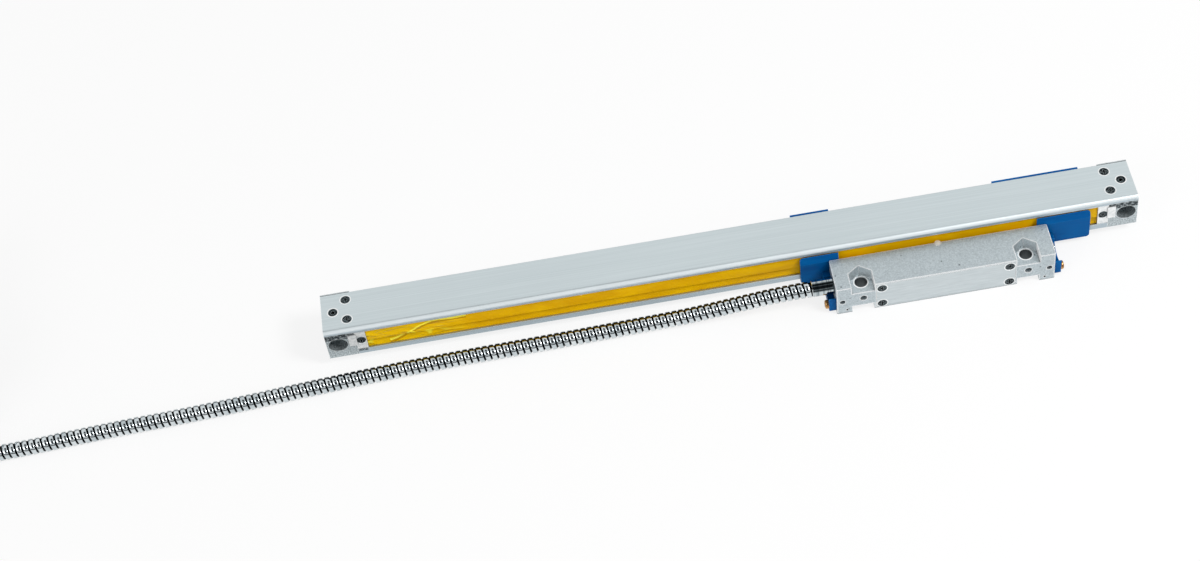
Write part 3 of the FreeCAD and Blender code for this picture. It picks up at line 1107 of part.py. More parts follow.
NODES = {
    "housing_profile": housing_profile(),
    "end_block_left": end_block(-1),
    "end_block_right": end_block(1),
    "end_block_screws": end_block_screws(),
    "air_port_screws": air_port_screws(),
    "seal_clamps": group([seal_clamp(-1), seal_clamp(1)]),
    "seal_clamp_screws": seal_clamp_screws(),
    "seal_clamp_anchors": group([clamp_anchor(-1), clamp_anchor(1)]),
    "upper_lip_seal": upper_lip_seal(),
    "lower_lip_seal": lower_lip_seal(),
    "glass_scale": glass_scale(),
    "graduation_track": graduation_track(),
    "glass_clamp_strip": glass_clamp_strip(),
    "end_bumpers": group([end_bumper(-1), end_bumper(1)]),
    "head_casting": head_casting(),
    "head_cover_plate": cover_plate(),
    "head_cover_gasket": cover_gasket(),
    "head_cover_screws": cover_screws(),
    "head_circuit_board": head_circuit_board(),
    "scanning_blade": scanning_blade(),
    "blade_screws": arm_screws(),
    "coupling_wire": coupling_wire(),
    "carriage": carriage(),
    "roller_axles": roller_axles(),
    "lamp_board": lamp_board(),
    "lamp_lens": lamp_lens(),
    "scanning_reticle": scanning_reticle(),
    "photocell_board": photocell_board(),
    "signal_ribbon": signal_ribbon(),
    "left_transport_bracket": bracket(LEFT_BRACKET, LEFT_BRACKET[0], (HEAD_LEFT - TAB_THICK, HEAD_LEFT), -1),
    "right_transport_bracket": bracket(RIGHT_BRACKET, RIGHT_BACK_START,
                                       (HEAD_RIGHT, HEAD_RIGHT + TAB_THICK), 1),
    "bracket_screws": bracket_screws(),
    "index_pin": index_pin(),
    "blanking_plug": blanking_plug(),
    "cable_ferrule": cable_ferrule(),
    "cable_lead": cord_tube(lead_route(), "lead"),
    "cable_coil": cable_coil(),
    "cable_tail": cord_tube(tail_route(), "tail"),
    "plug_boot": plug_boot(),
    "plug_hood_upper": hood_half(1),
    "plug_hood_lower": hood_half(-1),
    "plug_shell": plug_shell(),
    "plug_insert": plug_insert(),
    "plug_contacts": plug_contacts(),
    "plug_jack_screws": jack_screws(),
}
for number in range(len(FACE_ROLLERS) + len(EDGE_ROLLERS)):
    NODES["carriage_roller_%d" % (number + 1)] = roller(number)

os.makedirs("parts", exist_ok=True)
for name, shape in NODES.items():
    if not shape.isValid():
        print("not valid:", name)
    shape.exportStep("parts/%s.step" % name)
print(len(NODES), "nodes,", sum(len(shape.Solids) for shape in NODES.values()), "solids")
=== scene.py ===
import math

import bpy
from mathutils import Matrix, Vector


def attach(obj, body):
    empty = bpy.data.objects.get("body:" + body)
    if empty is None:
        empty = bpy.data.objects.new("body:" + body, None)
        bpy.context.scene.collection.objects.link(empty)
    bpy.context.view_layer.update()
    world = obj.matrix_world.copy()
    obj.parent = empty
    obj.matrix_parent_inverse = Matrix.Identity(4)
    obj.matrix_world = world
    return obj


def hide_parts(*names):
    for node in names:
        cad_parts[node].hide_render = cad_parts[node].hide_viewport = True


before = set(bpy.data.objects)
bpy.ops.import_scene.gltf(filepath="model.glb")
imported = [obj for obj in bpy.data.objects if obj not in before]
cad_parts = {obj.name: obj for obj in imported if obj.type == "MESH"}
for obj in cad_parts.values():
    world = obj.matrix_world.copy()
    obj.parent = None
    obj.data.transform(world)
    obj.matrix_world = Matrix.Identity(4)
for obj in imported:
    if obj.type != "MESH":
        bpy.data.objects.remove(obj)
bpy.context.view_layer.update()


# The housing is one length of extruded aluminium with a slot along its front, etched and anodised
# in its natural colour: silky, with faint lines along the press direction. Its rounded front edge
# carries a painted highlight, its front faces carry painted shade, and the countersinks are bare metal.
MM = 0.001
RING_HALF_WIDTH = 0.22
# Holes in mm: their middle, how far they lie to both sides of it, and the radius of their edge
ROOF_SCREWS = ((0, -10.1), (165.2, 5.35), 2.3)
AIR_PORTS = ((0, -10.6), (171, 0), 2.3)
LEFT_CLAMP_X = -162.6
SLOT_LOWER_EDGE_Z = -5.6


def linear(hex_code):
    """An sRGB hex colour as the linear values that a shader takes."""
    values = []
    for start in (0, 2, 4):
        share = int(hex_code[start:start + 2], 16) / 255
        values.append(share / 12.92 if share <= 0.04045 else ((share + 0.055) / 1.055) ** 2.4)
    return (*values, 1.0)


def feed(tree, node, inputs):
    """Gives each input of a node its value, or the output that it is linked to."""
    for name, value in inputs.items():
        if isinstance(value, bpy.types.NodeSocket):
            tree.links.new(value, node.inputs[name])
        else:
            node.inputs[name].default_value = value


def add_node(tree, kind, inputs=None, **settings):
    """Adds one node with its settings, values and links."""
    made = tree.nodes.new(kind)
    for name, value in settings.items():
        setattr(made, name, value)
    feed(tree, made, inputs or {})
    return made


def start_finish(name):
    """A material with its shader and the object's coordinates, ready for its pattern."""
    material = bpy.data.materials.new(name)
    material.use_nodes = True
    tree = material.node_tree
    tree.nodes.clear()
    shader = add_node(tree, "ShaderNodeBsdfPrincipled")
    add_node(tree, "ShaderNodeOutputMaterial", {"Surface": shader.outputs["BSDF"]})
    place = add_node(tree, "ShaderNodeTexCoord").outputs["Object"]
    return material, tree, shader, place


def finish_nodes(material, *names):
    """Gives CAD nodes a material in place of the plain one that they were packed with."""
    for name in names:
        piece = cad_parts[name]
        for slot in piece.material_slots:
            slot.material = material


def mottled(tree, where, scale, detail, dark, light, low=0.0, high=1.0, **more):
    """A cloudy pattern, scale times per metre, and its tones from dark at low to light at high."""
    cloud = add_node(tree, "ShaderNodeTexNoise", {"Vector": where, "Scale": scale, "Detail": detail,
                                                  **more}).outputs["Fac"]
    tones = add_node(tree, "ShaderNodeValToRGB", {"Fac": cloud})
    for number, position, colour in ((0, low, dark), (1, high, light)):
        tones.color_ramp.elements[number].position = position
        tones.color_ramp.elements[number].color = linear(colour)
    return cloud, tones.outputs["Color"]


def all_of(tree, share, *others):
    """The share in which several shares hold at once."""
    for other in others:
        share = add_node(tree, "ShaderNodeMath", {0: share, 1: other}, operation="MULTIPLY").outputs[0]
    return share


def in_box(tree, *sides):
    """1 where each measure is no further from its middle than half a width, both in mm, and else 0."""
    return all_of(tree, *[add_node(tree, "ShaderNodeMath", {0: measure, 1: middle * MM, 2: half * MM},
                                   operation="COMPARE").outputs[0] for measure, middle, half in sides])


def laid_over(tree, colour, *coats):
    """A colour with coats over it, one after another, each given by its share and hex colour."""
    for share, coat in coats:
        colour = add_node(tree, "ShaderNodeMix", {"Factor": share, "A": colour, "B": linear(coat)},
                          data_type="RGBA").outputs["Result"]
    return colour


def hole_ring(tree, place, axes, centre, apart, radius):
    """1 on a thin ring around four holes (or two), which lie apart from a centre, in mm."""
    parts = add_node(tree, "ShaderNodeSeparateXYZ", {"Vector": place}).outputs
    squares = []
    for axis, middle, half in zip(axes, centre, apart):
        off = parts[axis]
        for operation, other in (("SUBTRACT", middle * MM), ("ABSOLUTE", 0.0), ("SUBTRACT", half * MM),
                                 ("POWER", 2.0)):
            off = add_node(tree, "ShaderNodeMath", {0: off, 1: other}, operation=operation).outputs[0]
        squares.append(off)
    total = add_node(tree, "ShaderNodeMath", dict(enumerate(squares)), operation="ADD")
    away = add_node(tree, "ShaderNodeMath", {0: total.outputs[0]}, operation="SQRT").outputs[0]
    return in_box(tree, (away, radius, RING_HALF_WIDTH))


def edge_highlight_and_corner_shade(tree, colour, bright, radius, reach, darkest):
    """Painted highlights on outer edges within a radius, and painted shade in corners within a reach, both
    in mm.
    """
    true_normal = add_node(tree, "ShaderNodeNewGeometry").outputs["Normal"]
    eased_normal = add_node(tree, "ShaderNodeBevel", {"Radius": radius * MM}, samples=4).outputs["Normal"]
    alike = add_node(tree, "ShaderNodeVectorMath", {0: true_normal, 1: eased_normal},
                     operation="DOT_PRODUCT").outputs["Value"]
    openness = add_node(tree, "ShaderNodeAmbientOcclusion", {"Distance": reach * MM},
                        samples=6).outputs["AO"]
    near_edge = add_node(tree, "ShaderNodeMapRange", {"Value": alike, "From Min": 0.998,
                                                      "From Max": 0.96}).outputs["Result"]
    outer = add_node(tree, "ShaderNodeMapRange", {"Value": openness, "From Min": 0.6,
                                                  "From Max": 0.85}).outputs["Result"]
    dull = add_node(tree, "ShaderNodeMapRange", {"Value": openness, "From Min": 0.25, "From Max": 0.85,
                                                 "To Min": darkest}).outputs["Result"]
    with_edge_highlight = laid_over(tree, colour, (all_of(tree, near_edge, outer), bright))
    return add_node(tree, "ShaderNodeVectorMath", {0: with_edge_highlight, "Scale": dull},
                    operation="SCALE").outputs["Vector"]


# Anodised extrusion: lines 0.5 mm apart and 80 mm long, drawn coarser than real ones to show
anodised, tree, shader, place = start_finish("anodised_extruded_aluminium")
pressed = add_node(tree, "ShaderNodeMapping", {"Vector": place, "Scale": (12, 2000, 2000)})
lines, tone = mottled(tree, pressed.outputs["Vector"], 1.0, 3.0, "CBD6D9", "D7E1E4", 0.3, 0.75,
                      Roughness=0.6)
facing = add_node(tree, "ShaderNodeSeparateXYZ", {
    "Vector": add_node(tree, "ShaderNodeNewGeometry").outputs["Normal"]}).outputs
rounded = add_node(tree, "ShaderNodeMath", {0: facing["Y"], 1: facing["Z"]}, operation="MULTIPLY")
# Painted highlight on the rounded front edge
edge = add_node(tree, "ShaderNodeMapRange", {"Value": rounded.outputs[0], "From Min": -0.22,
                                             "From Max": -0.46}).outputs["Result"]
# Painted shade on the faces turned to the front
front = add_node(tree, "ShaderNodeMapRange", {"Value": facing["Y"], "From Min": -0.9, "From Max": -0.98,
                                              "To Max": 0.42}).outputs["Result"]
bare = add_node(tree, "ShaderNodeMath", {0: hole_ring(tree, place, "XY", *ROOF_SCREWS),
                                         1: hole_ring(tree, place, "XY", *AIR_PORTS)},
                operation="MAXIMUM").outputs[0]
spot = add_node(tree, "ShaderNodeSeparateXYZ", {"Vector": place}).outputs
# Under the left clamp the slot's lower edge is darker, in specks of about 1 mm
under_clamp = in_box(tree, (spot["X"], LEFT_CLAMP_X, 3.8), (spot["Z"], SLOT_LOWER_EDGE_Z, 0.8))
grit = add_node(tree, "ShaderNodeTexNoise", {"Vector": place, "Scale": 900.0, "Detail": 3.0})
sharp_grit = add_node(tree, "ShaderNodeMapRange", {"Value": grit.outputs["Fac"], "From Min": 0.6,
                                                   "From Max": 0.45, "To Min": 0.2, "To Max": 0.9})
darker_under_clamp = all_of(tree, under_clamp, sharp_grit.outputs["Result"])
tone = laid_over(tree, tone, (edge, "E6EEF1"), (front, "7C93A6"), (bare, "FAFCFC"), (darker_under_clamp, "2A3338"))
cloud = add_node(tree, "ShaderNodeTexNoise", {"Vector": place, "Scale": 30.0, "Detail": 2.0})
gloss = add_node(tree, "ShaderNodeMapRange", {"Value": cloud.outputs["Fac"], "From Min": 0.3,
                                              "From Max": 0.7, "To Min": 0.36, "To Max": 0.42})
film = add_node(tree, "ShaderNodeMapRange", {"Value": edge, "To Min": 0.9, "To Max": 0.35})
relief = add_node(tree, "ShaderNodeBump", {"Height": lines, "Strength": 0.10, "Distance": 0.05 * MM})
# Painted highlights on outer edges, and painted shade in corners and beside the head
feed(tree, shader, {"Base Color": edge_highlight_and_corner_shade(tree, tone, "F4F8F9", 0.35, 7, 0.35),
                    "Metallic": film.outputs["Result"], "Roughness": gloss.outputs["Result"],
                    "Normal": relief.outputs["Normal"]})
finish_nodes(anodised, "housing_profile")


# The end blocks close the housing and carry the mounting slots. They are die-cast aluminium,
# tumbled after casting, so their faces are rougher and greyer than the extrusion. Their front
# under the roof and the inside of the mounting slots carry painted shade, dark and grainy.
UNDER_ROOF_Z = 5.3
SLOT_FRONT_Y = -18.6
SLOT_BACK_Y = -17.0
SLOT_HALF_HEIGHT = 2.6
# The grain is 0.6 mm across, coarser than the real 0.1 mm, which wouldn't show
tumbled, tree, shader, place = start_finish("tumbled_cast_aluminium")
grit, tone = mottled(tree, place, 1600.0, 4.0, "8C979B", "CFD8DB", 0.36, 0.60, Roughness=0.65)
spot = add_node(tree, "ShaderNodeSeparateXYZ", {"Vector": place}).outputs
behind_front = add_node(tree, "ShaderNodeMapRange", {
    "Value": spot["Y"], "From Min": SLOT_FRONT_Y * MM, "From Max": SLOT_BACK_Y * MM})
in_slot = all_of(tree, behind_front.outputs["Result"],
                 in_box(tree, (spot["Z"], 0.0, SLOT_HALF_HEIGHT)))
# Painted shade under the roof and inside the slot, laid on in grainy specks
shaded_under_roof_and_in_slot = add_node(tree, "ShaderNodeMath", {0: in_box(tree, (spot["Z"], UNDER_ROOF_Z, 1.9)),
                                              1: in_slot}, operation="MAXIMUM").outputs[0]
coarse = add_node(tree, "ShaderNodeTexNoise", {"Vector": place, "Scale": 850.0, "Detail": 2.0})
specks = add_node(tree, "ShaderNodeMapRange", {"Value": coarse.outputs["Fac"], "From Min": 0.62,
                                               "From Max": 0.46, "To Min": 0.3, "To Max": 0.95})
tone = laid_over(tree, tone, (all_of(tree, shaded_under_roof_and_in_slot, specks.outputs["Result"]), "20292E"))
relief = add_node(tree, "ShaderNodeBump", {"Height": grit, "Strength": 0.5, "Distance": 0.12 * MM})
# Painted highlights on outer edges and painted shade in corners
feed(tree, shader, {"Base Color": edge_highlight_and_corner_shade(tree, tone, "F4F8F9", 0.35, 3, 0.3), "Metallic": 0.85,
                    "Roughness": 0.45, "Normal": relief.outputs["Normal"]})
finish_nodes(tumbled, "end_block_left", "end_block_right")


# Countersunk cross-head screws hold the end blocks and the head's cover plate, and socket plugs
# close the air ports. All are steel with a black oxide that shines where the driver rubbed it.
# Rubbed spots are about 1 mm across.
black_oxide, tree, shader, place = start_finish("black_oxide_steel")
rubbed, tone = mottled(tree, place, 900.0, 3.0, "0A1216", "4A585C", 0.4, 0.76)
relief = add_node(tree, "ShaderNodeBump", {"Height": rubbed, "Strength": 0.3, "Distance": 0.05 * MM})
# Painted highlights on the edges of heads and recesses, and painted shade in their corners
feed(tree, shader, {"Base Color": edge_highlight_and_corner_shade(tree, tone, "B9C4C8", 0.22, 1, 0.3), "Metallic": 0.8,
                    "Roughness": 0.34, "Normal": relief.outputs["Normal"]})
finish_nodes(black_oxide, "end_block_screws", "air_port_screws", "head_cover_screws", "blade_screws",
             "seal_clamp_screws")


# A small pressed clamp beside each end block pins the sealing lips, held by one black screw into
# a threaded anchor behind them. Clamp, anchor and index pin are steel with a dull nickel plate.
# The plate is cloudy, in spots of 1.4 mm.
nickel, tree, shader, place = start_finish("nickel_plated_steel")
wear, tone = mottled(tree, place, 700.0, 3.0, "DADEDF", "FAFBFB", 0.3, 0.7)
rough = add_node(tree, "ShaderNodeMapRange", {"Value": wear, "From Min": 0.3, "From Max": 0.7,
                                              "To Min": 0.36, "To Max": 0.5}).outputs["Result"]
# Painted highlights on outer edges and painted shade in corners
feed(tree, shader, {"Base Color": edge_highlight_and_corner_shade(tree, tone, "FFFFFF", 0.2, 1.2, 0.15), "Metallic": 0.75,
                    "Roughness": rough})
finish_nodes(nickel, "seal_clamps", "seal_clamp_anchors", "index_pin")


# Two lips of cast polyurethane film close the slot and part around the blade as it travels.
# The film is a clear amber with a soft shine. Near its clamped left end it is lighter, and one long
# fold climbs across it, with a painted highlight on its crest, painted shade in its valley, and
# painted highlights on a few creases.
LIGHTER_FROM_X = -112
LIGHTEST_FROM_X = -134
FOLD_START = (-149, -3.4)
FOLD_END = (-129, 4.8)
FOLD_WANDERS = 1.8
FOLD_MIDDLE_X = -132
FOLD_HALF_LENGTH = 17
# Painted highlight on the crest and painted shade in the valley: middle and half width in mm from the fold,
# colour, and how much it covers
FOLD_HIGHLIGHT_AND_SHADE = ((-0.6, 0.5, "FFF24A", 0.95), (-1.7, 0.6, "A26C00", 0.6))
amber, tree, shader, place = start_finish("amber_polyurethane_film")
spot = add_node(tree, "ShaderNodeSeparateXYZ", {"Vector": place}).outputs
# The film drifts in colour over 17 by 6 mm, and its creases are 14 mm long and 4 mm apart
waves = add_node(tree, "ShaderNodeMapping", {"Vector": place, "Scale": (60, 160, 160)})
_, tone = mottled(tree, waves.outputs["Vector"], 1.0, 2.0, "DCA400", "F0BC00", 0.3, 0.7, Distortion=0.6)
slant = add_node(tree, "ShaderNodeMapping", {"Vector": place, "Rotation": (0, math.radians(28), 0),
                                             "Scale": (70, 70, 260)})
crease = add_node(tree, "ShaderNodeTexNoise", {"Vector": slant.outputs["Vector"], "Scale": 1.0,
                                               "Detail": 1.0, "Distortion": 1.2}).outputs["Fac"]
near_end = add_node(tree, "ShaderNodeMapRange", {
    "Value": spot["X"], "From Min": LIGHTER_FROM_X * MM, "From Max": LIGHTEST_FROM_X * MM,
    "To Min": 0.04}).outputs["Result"]
relief = add_node(tree, "ShaderNodeBump", {"Height": all_of(tree, crease, near_end), "Strength": 1.0,
                                           "Distance": 2 * MM})
fold_line = add_node(tree, "ShaderNodeMapRange", {
    "Value": spot["X"], "From Min": FOLD_START[0] * MM, "From Max": FOLD_END[0] * MM,
    "To Min": FOLD_START[1] * MM, "To Max": FOLD_END[1] * MM},
    interpolation_type="SMOOTHSTEP").outputs["Result"]
wander = add_node(tree, "ShaderNodeMath", {0: crease, 1: FOLD_WANDERS * MM},
                  operation="MULTIPLY").outputs[0]
from_fold = spot["Z"]
for shift in (fold_line, wander):
    from_fold = add_node(tree, "ShaderNodeMath", {0: from_fold, 1: shift}, operation="SUBTRACT").outputs[0]
coats = [(near_end, "EDBE00")]
for middle, half, colour, share in FOLD_HIGHLIGHT_AND_SHADE:
    stripe = in_box(tree, (from_fold, middle, half), (spot["X"], FOLD_MIDDLE_X, FOLD_HALF_LENGTH))
    coats.append((all_of(tree, stripe, share), colour))
# Painted highlights along the creases near the clamped end
crease_highlight = add_node(tree, "ShaderNodeMapRange", {"Value": crease, "From Min": 0.63, "From Max": 0.69})
coats.append((all_of(tree, crease_highlight.outputs["Result"], near_end), "FFEC3C"))
feed(tree, shader, {"Base Color": laid_over(tree, tone, *coats), "Roughness": 0.34,
                    "Specular IOR Level": 0.1, "Normal": relief.outputs["Normal"]})
finish_nodes(amber, "upper_lip_seal", "lower_lip_seal")


# The measuring glass is ground float glass in a groove of the housing, pressed down by a soft
# strip. Chrome lines of 20 micrometres run along it, far too fine to show, so the track is
# drawn with lines 1 mm apart.
LINES_APART = 1.0
clear_glass, tree, shader, place = start_finish("ground_float_glass")
_, tone = mottled(tree, place, 90.0, 2.0, "DDEFEA", "F2FAF8")
feed(tree, shader, {"Base Color": tone, "Roughness": 0.03, "IOR": 1.52, "Transmission Weight": 0.9})
finish_nodes(clear_glass, "glass_scale", "lamp_lens", "scanning_reticle")

track, tree, shader, place = start_finish("chrome_graduations_on_glass")
spot = add_node(tree, "ShaderNodeSeparateXYZ", {"Vector": place}).outputs
ruled = add_node(tree, "ShaderNodeMath", {0: spot["X"], 1: LINES_APART * MM}, operation="MODULO")
lit = add_node(tree, "ShaderNodeMath", {0: ruled.outputs[0], 1: LINES_APART / 2 * MM},
               operation="GREATER_THAN")
feed(tree, shader, {"Base Color": laid_over(tree, linear("4C5458"), (lit.outputs[0], "D5DADC")),
                    "Metallic": 1.0, "Roughness": 0.12})
finish_nodes(track, "graduation_track")


# Bumpers, gasket, clamping strip and the cable's boot are moulded black rubber, matt with a
# faint dusty bloom.
rubber, tree, shader, place = start_finish("moulded_black_rubber")
bloom, tone = mottled(tree, place, 500.0, 4.0, "17181A", "34363A")
relief = add_node(tree, "ShaderNodeBump", {"Height": bloom, "Strength": 0.3, "Distance": 0.08 * MM})
feed(tree, shader, {"Base Color": tone, "Roughness": 0.72, "Normal": relief.outputs["Normal"]})
finish_nodes(rubber, "end_bumpers", "glass_clamp_strip", "head_cover_gasket", "plug_boot")


# The scanning head's body is an aluminium die casting, bead-blasted all over to a fine even grain
# with a few small pits, painted dark. The walls of its two screw pockets are milled afterwards and
# painted white as a highlight, and the bores for the fixing screws, drilled last, carry painted
# shade inside, under a painted highlight at their rim.
HEAD_MIDDLE_X = 88.65
BORES_APART = 35.55
BORES = ((HEAD_MIDDLE_X, -34.0), (BORES_APART, 0))
BORE_RADIUS = 2.75
RIM_RADIUS = 3.1
POCKET_HALF_WIDTH = 6.4
WALL_MIDDLE_Z = 0.95
WALL_HALF_HEIGHT = 2.0
POCKET_FLOOR_Z = -1.15
HEAD_FRONT_Y = -39.5
# The grain is 0.7 mm across, coarser than the real 0.15 mm, and pits are some 5 mm apart
blasted, tree, shader, place = start_finish("bead_blasted_die_casting")
grain, tone = mottled(tree, place, 1500.0, 5.0, "A7B2B7", "CBD5D9", 0.33, 0.66, Roughness=0.7)
to_pit = add_node(tree, "ShaderNodeTexVoronoi", {"Vector": place, "Scale": 190.0}).outputs["Distance"]
# The pits are painted dark
dark_pits = add_node(tree, "ShaderNodeMapRange", {"Value": to_pit, "From Min": 0.10, "From Max": 0.05,
                                                 "To Max": 0.7}).outputs["Result"]
pit_floor = add_node(tree, "ShaderNodeMapRange", {"Value": to_pit, "From Min": 0.05, "From Max": 0.10})
spot = add_node(tree, "ShaderNodeSeparateXYZ", {"Vector": place}).outputs
from_middle = add_node(tree, "ShaderNodeMath", {0: spot["X"], 1: HEAD_MIDDLE_X * MM}, operation="SUBTRACT")
aside = add_node(tree, "ShaderNodeMath", {0: from_middle.outputs[0]}, operation="ABSOLUTE").outputs[0]
facing = add_node(tree, "ShaderNodeSeparateXYZ", {
    "Vector": add_node(tree, "ShaderNodeNewGeometry").outputs["Normal"]}).outputs
upright = add_node(tree, "ShaderNodeMath", {0: facing["Z"], 1: 0.3}, operation="LESS_THAN")
inside_head = add_node(tree, "ShaderNodeMath", {0: spot["Y"], 1: HEAD_FRONT_Y * MM},
                       operation="GREATER_THAN")
in_pocket = in_box(tree, (aside, BORES_APART, POCKET_HALF_WIDTH),
                   (spot["Z"], WALL_MIDDLE_Z, WALL_HALF_HEIGHT))
# The pocket walls are painted white as a highlight
pocket_wall_highlight = all_of(tree, in_pocket, upright.outputs[0], inside_head.outputs[0])
below = add_node(tree, "ShaderNodeMath", {0: spot["Z"], 1: POCKET_FLOOR_Z * MM},
                 operation="LESS_THAN").outputs[0]
above = add_node(tree, "ShaderNodeMath", {0: 1.0, 1: below}, operation="SUBTRACT").outputs[0]
# Painted shade inside the bores, and a painted highlight at their rim
bore_shade = all_of(tree, hole_ring(tree, place, "XY", *BORES, BORE_RADIUS), below, 0.85)
bore_rim_highlight = all_of(tree, hole_ring(tree, place, "XY", *BORES, RIM_RADIUS), above)
tone = laid_over(tree, tone, (dark_pits, "3A4448"), (pocket_wall_highlight, "FFFFFF"), (bore_shade, "1A2226"),
                 (bore_rim_highlight, "F8FBFB"))
height = add_node(tree, "ShaderNodeMath", {0: pit_floor.outputs["Result"], 1: grain}, operation="ADD")
relief = add_node(tree, "ShaderNodeBump", {"Height": height.outputs[0], "Strength": 0.5,
                                           "Distance": 0.14 * MM})
film = add_node(tree, "ShaderNodeMapRange", {"Value": pocket_wall_highlight, "To Min": 0.8, "To Max": 0.15})
# Painted highlights on outer edges and painted shade in corners
feed(tree, shader, {"Base Color": edge_highlight_and_corner_shade(tree, tone, "FFFFFF", 0.7, 1.4, 0.2),
                    "Metallic": film.outputs["Result"], "Roughness": 0.44,
                    "Normal": relief.outputs["Normal"]})
finish_nodes(blasted, "head_casting")


# The cover plate closes the head's electronics. It is rolled aluminium sheet, milled flat and
# blasted lightly, so it is smoother and brighter than the casting around it.
PLATE_SCREWS = ((HEAD_MIDDLE_X, -5.4), (27.5, 5.0), 2.3)
# The cutter's marks are 0.7 mm apart and 8 mm long
milled, tree, shader, place = start_finish("milled_aluminium_plate")
cutter_path = add_node(tree, "ShaderNodeMapping", {"Vector": place, "Scale": (120, 1400, 1400)})
marks, tone = mottled(tree, cutter_path.outputs["Vector"], 1.0, 4.0, "C1CACD", "D0D8DB", 0.3, 0.7,
                      Roughness=0.6)
tone = laid_over(tree, tone, (hole_ring(tree, place, "XZ", *PLATE_SCREWS), "FAFCFC"))
relief = add_node(tree, "ShaderNodeBump", {"Height": marks, "Strength": 0.2, "Distance": 0.05 * MM})
# Painted highlights on outer edges and painted shade in corners
feed(tree, shader, {"Base Color": edge_highlight_and_corner_shade(tree, tone, "E9EEEF", 0.3, 2, 0.3), "Metallic": 0.85,
                    "Roughness": 0.38, "Normal": relief.outputs["Normal"]})
finish_nodes(milled, "head_cover_plate")


# Boards carry the head's electronics, the lamp and the photocells. They are glass-epoxy
# laminate under green solder resist, with tracks that show as slightly lighter lines.
# The tracks are 1 mm apart, coarser than real ones, which wouldn't show.
laminate, tree, shader, place = start_finish("green_circuit_laminate")
grid = add_node(tree, "ShaderNodeTexBrick", {"Vector": place, "Scale": 260.0, "Mortar Size": 0.06,
                                             "Color1": linear("0E5A33"), "Color2": linear("126B3D"),
                                             "Mortar": linear("3C9A63")})
feed(tree, shader, {"Base Color": grid.outputs["Color"], "Roughness": 0.35, "Coat Weight": 0.4})
finish_nodes(laminate, "head_circuit_board", "lamp_board", "photocell_board")


# The blade reaches through the lips to the carriage, and a spring wire couples the two. Both
# are cold-rolled stainless steel, bright with faint rolling lines.
# The rolling lines are 0.3 mm apart and 17 mm long.
rolled, tree, shader, place = start_finish("cold_rolled_stainless_steel")
lengthwise = add_node(tree, "ShaderNodeMapping", {"Vector": place, "Scale": (60, 3000, 3000)})
_, tone = mottled(tree, lengthwise.outputs["Vector"], 1.0, 3.0, "9BA1A4", "CBD0D2")
feed(tree, shader, {"Base Color": tone, "Metallic": 1.0, "Roughness": 0.24})
finish_nodes(rolled, "scanning_blade", "coupling_wire")


# The carriage runs along the glass on five small ball bearings. Its frame is moulded from
# glass-filled plastic, and the bearings and their pins are polished chrome steel.
filled_plastic, tree, shader, place = start_finish("glass_filled_moulded_plastic")
_, tone = mottled(tree, place, 800.0, 5.0, "2A2D31", "4A4F55")
feed(tree, shader, {"Base Color": tone, "Roughness": 0.55})
finish_nodes(filled_plastic, "carriage")

bearing, tree, shader, place = start_finish("polished_bearing_steel")
_, tone = mottled(tree, place, 600.0, 2.0, "B9BDBF", "DDE0E1")
feed(tree, shader, {"Base Color": tone, "Metallic": 1.0, "Roughness": 0.1})
finish_nodes(bearing, "roller_axles", *["carriage_roller_%d" % n for n in range(1, 6)])


# A flexible ribbon takes the photocell signals out through the head. It is copper laid between
# two films of polyimide, which gives it an orange-brown shine with darker tracks along it.
# The tracks are 1 mm apart.
polyimide, tree, shader, place = start_finish("polyimide_flat_cable")
across = add_node(tree, "ShaderNodeTexWave", {"Vector": place, "Scale": 320.0}, bands_direction="Y")
tone = add_node(tree, "ShaderNodeValToRGB", {"Fac": across.outputs["Fac"]})
tone.color_ramp.elements[0].color = linear("8E4A12")
tone.color_ramp.elements[1].color = linear("C9812F")
feed(tree, shader, {"Base Color": tone.outputs["Color"], "Roughness": 0.3})
finish_nodes(polyimide, "signal_ribbon")


# Two transport brackets lock the head to the housing until the scale is mounted. They are
# injection moulded in blue plastic, with a light sheen, soft flow marks and a fine texture.
# The flow marks are 25 mm long and 6 mm apart, and the texture is 0.6 mm across.
moulded_blue, tree, shader, place = start_finish("moulded_blue_polypropylene")
flow = add_node(tree, "ShaderNodeMapping", {"Vector": place, "Scale": (40, 160, 160)})
_, tone = mottled(tree, flow.outputs["Vector"], 1.0, 4.0, "004C8C", "005FA0", 0.3, 0.75, Distortion=0.4)
skin = add_node(tree, "ShaderNodeTexNoise", {"Vector": place, "Scale": 1800.0, "Detail": 2.0})
relief = add_node(tree, "ShaderNodeBump", {"Height": skin.outputs["Fac"], "Strength": 0.25,
                                           "Distance": 0.06 * MM})
# Painted highlights on outer edges and the fold, and painted shade in corners
feed(tree, shader, {"Base Color": edge_highlight_and_corner_shade(tree, tone, "2F7FBE", 0.3, 4, 0.45), "Roughness": 0.36,
                    "Specular IOR Level": 0.05, "Normal": relief.outputs["Normal"]})
finish_nodes(moulded_blue, "left_transport_bracket", "right_transport_bracket")


# Each bracket is held to the head by one pan-head screw with a yellow chromate over zinc, which
# shows as a brownish gold that is lighter in some places than in others.
chromate, tree, shader, place = start_finish("yellow_chromated_zinc")
_, tone = mottled(tree, place, 500.0, 2.0, "8E5A2A", "CFA26A", 0.35, 0.65)
feed(tree, shader, {"Base Color": tone, "Metallic": 1.0, "Roughness": 0.28})
finish_nodes(chromate, "bracket_screws")


# The plug of the spare outlet and the cable's ferrule are turned brass under bright nickel, so
# they mirror what is around them, with fine turning rings and a painted dark reflection on the side turned
# to the camera.
# The turning rings are 0.4 mm apart, coarser than real ones, which wouldn't show.
bright_nickel, tree, shader, place = start_finish("bright_nickel_on_turned_brass")
rings = add_node(tree, "ShaderNodeMapping", {"Vector": place, "Scale": (2600, 40, 40)})
turned, tone = mottled(tree, rings.outputs["Vector"], 1.0, 2.0, "7B878C", "D3DBDE", 0.35, 0.65)
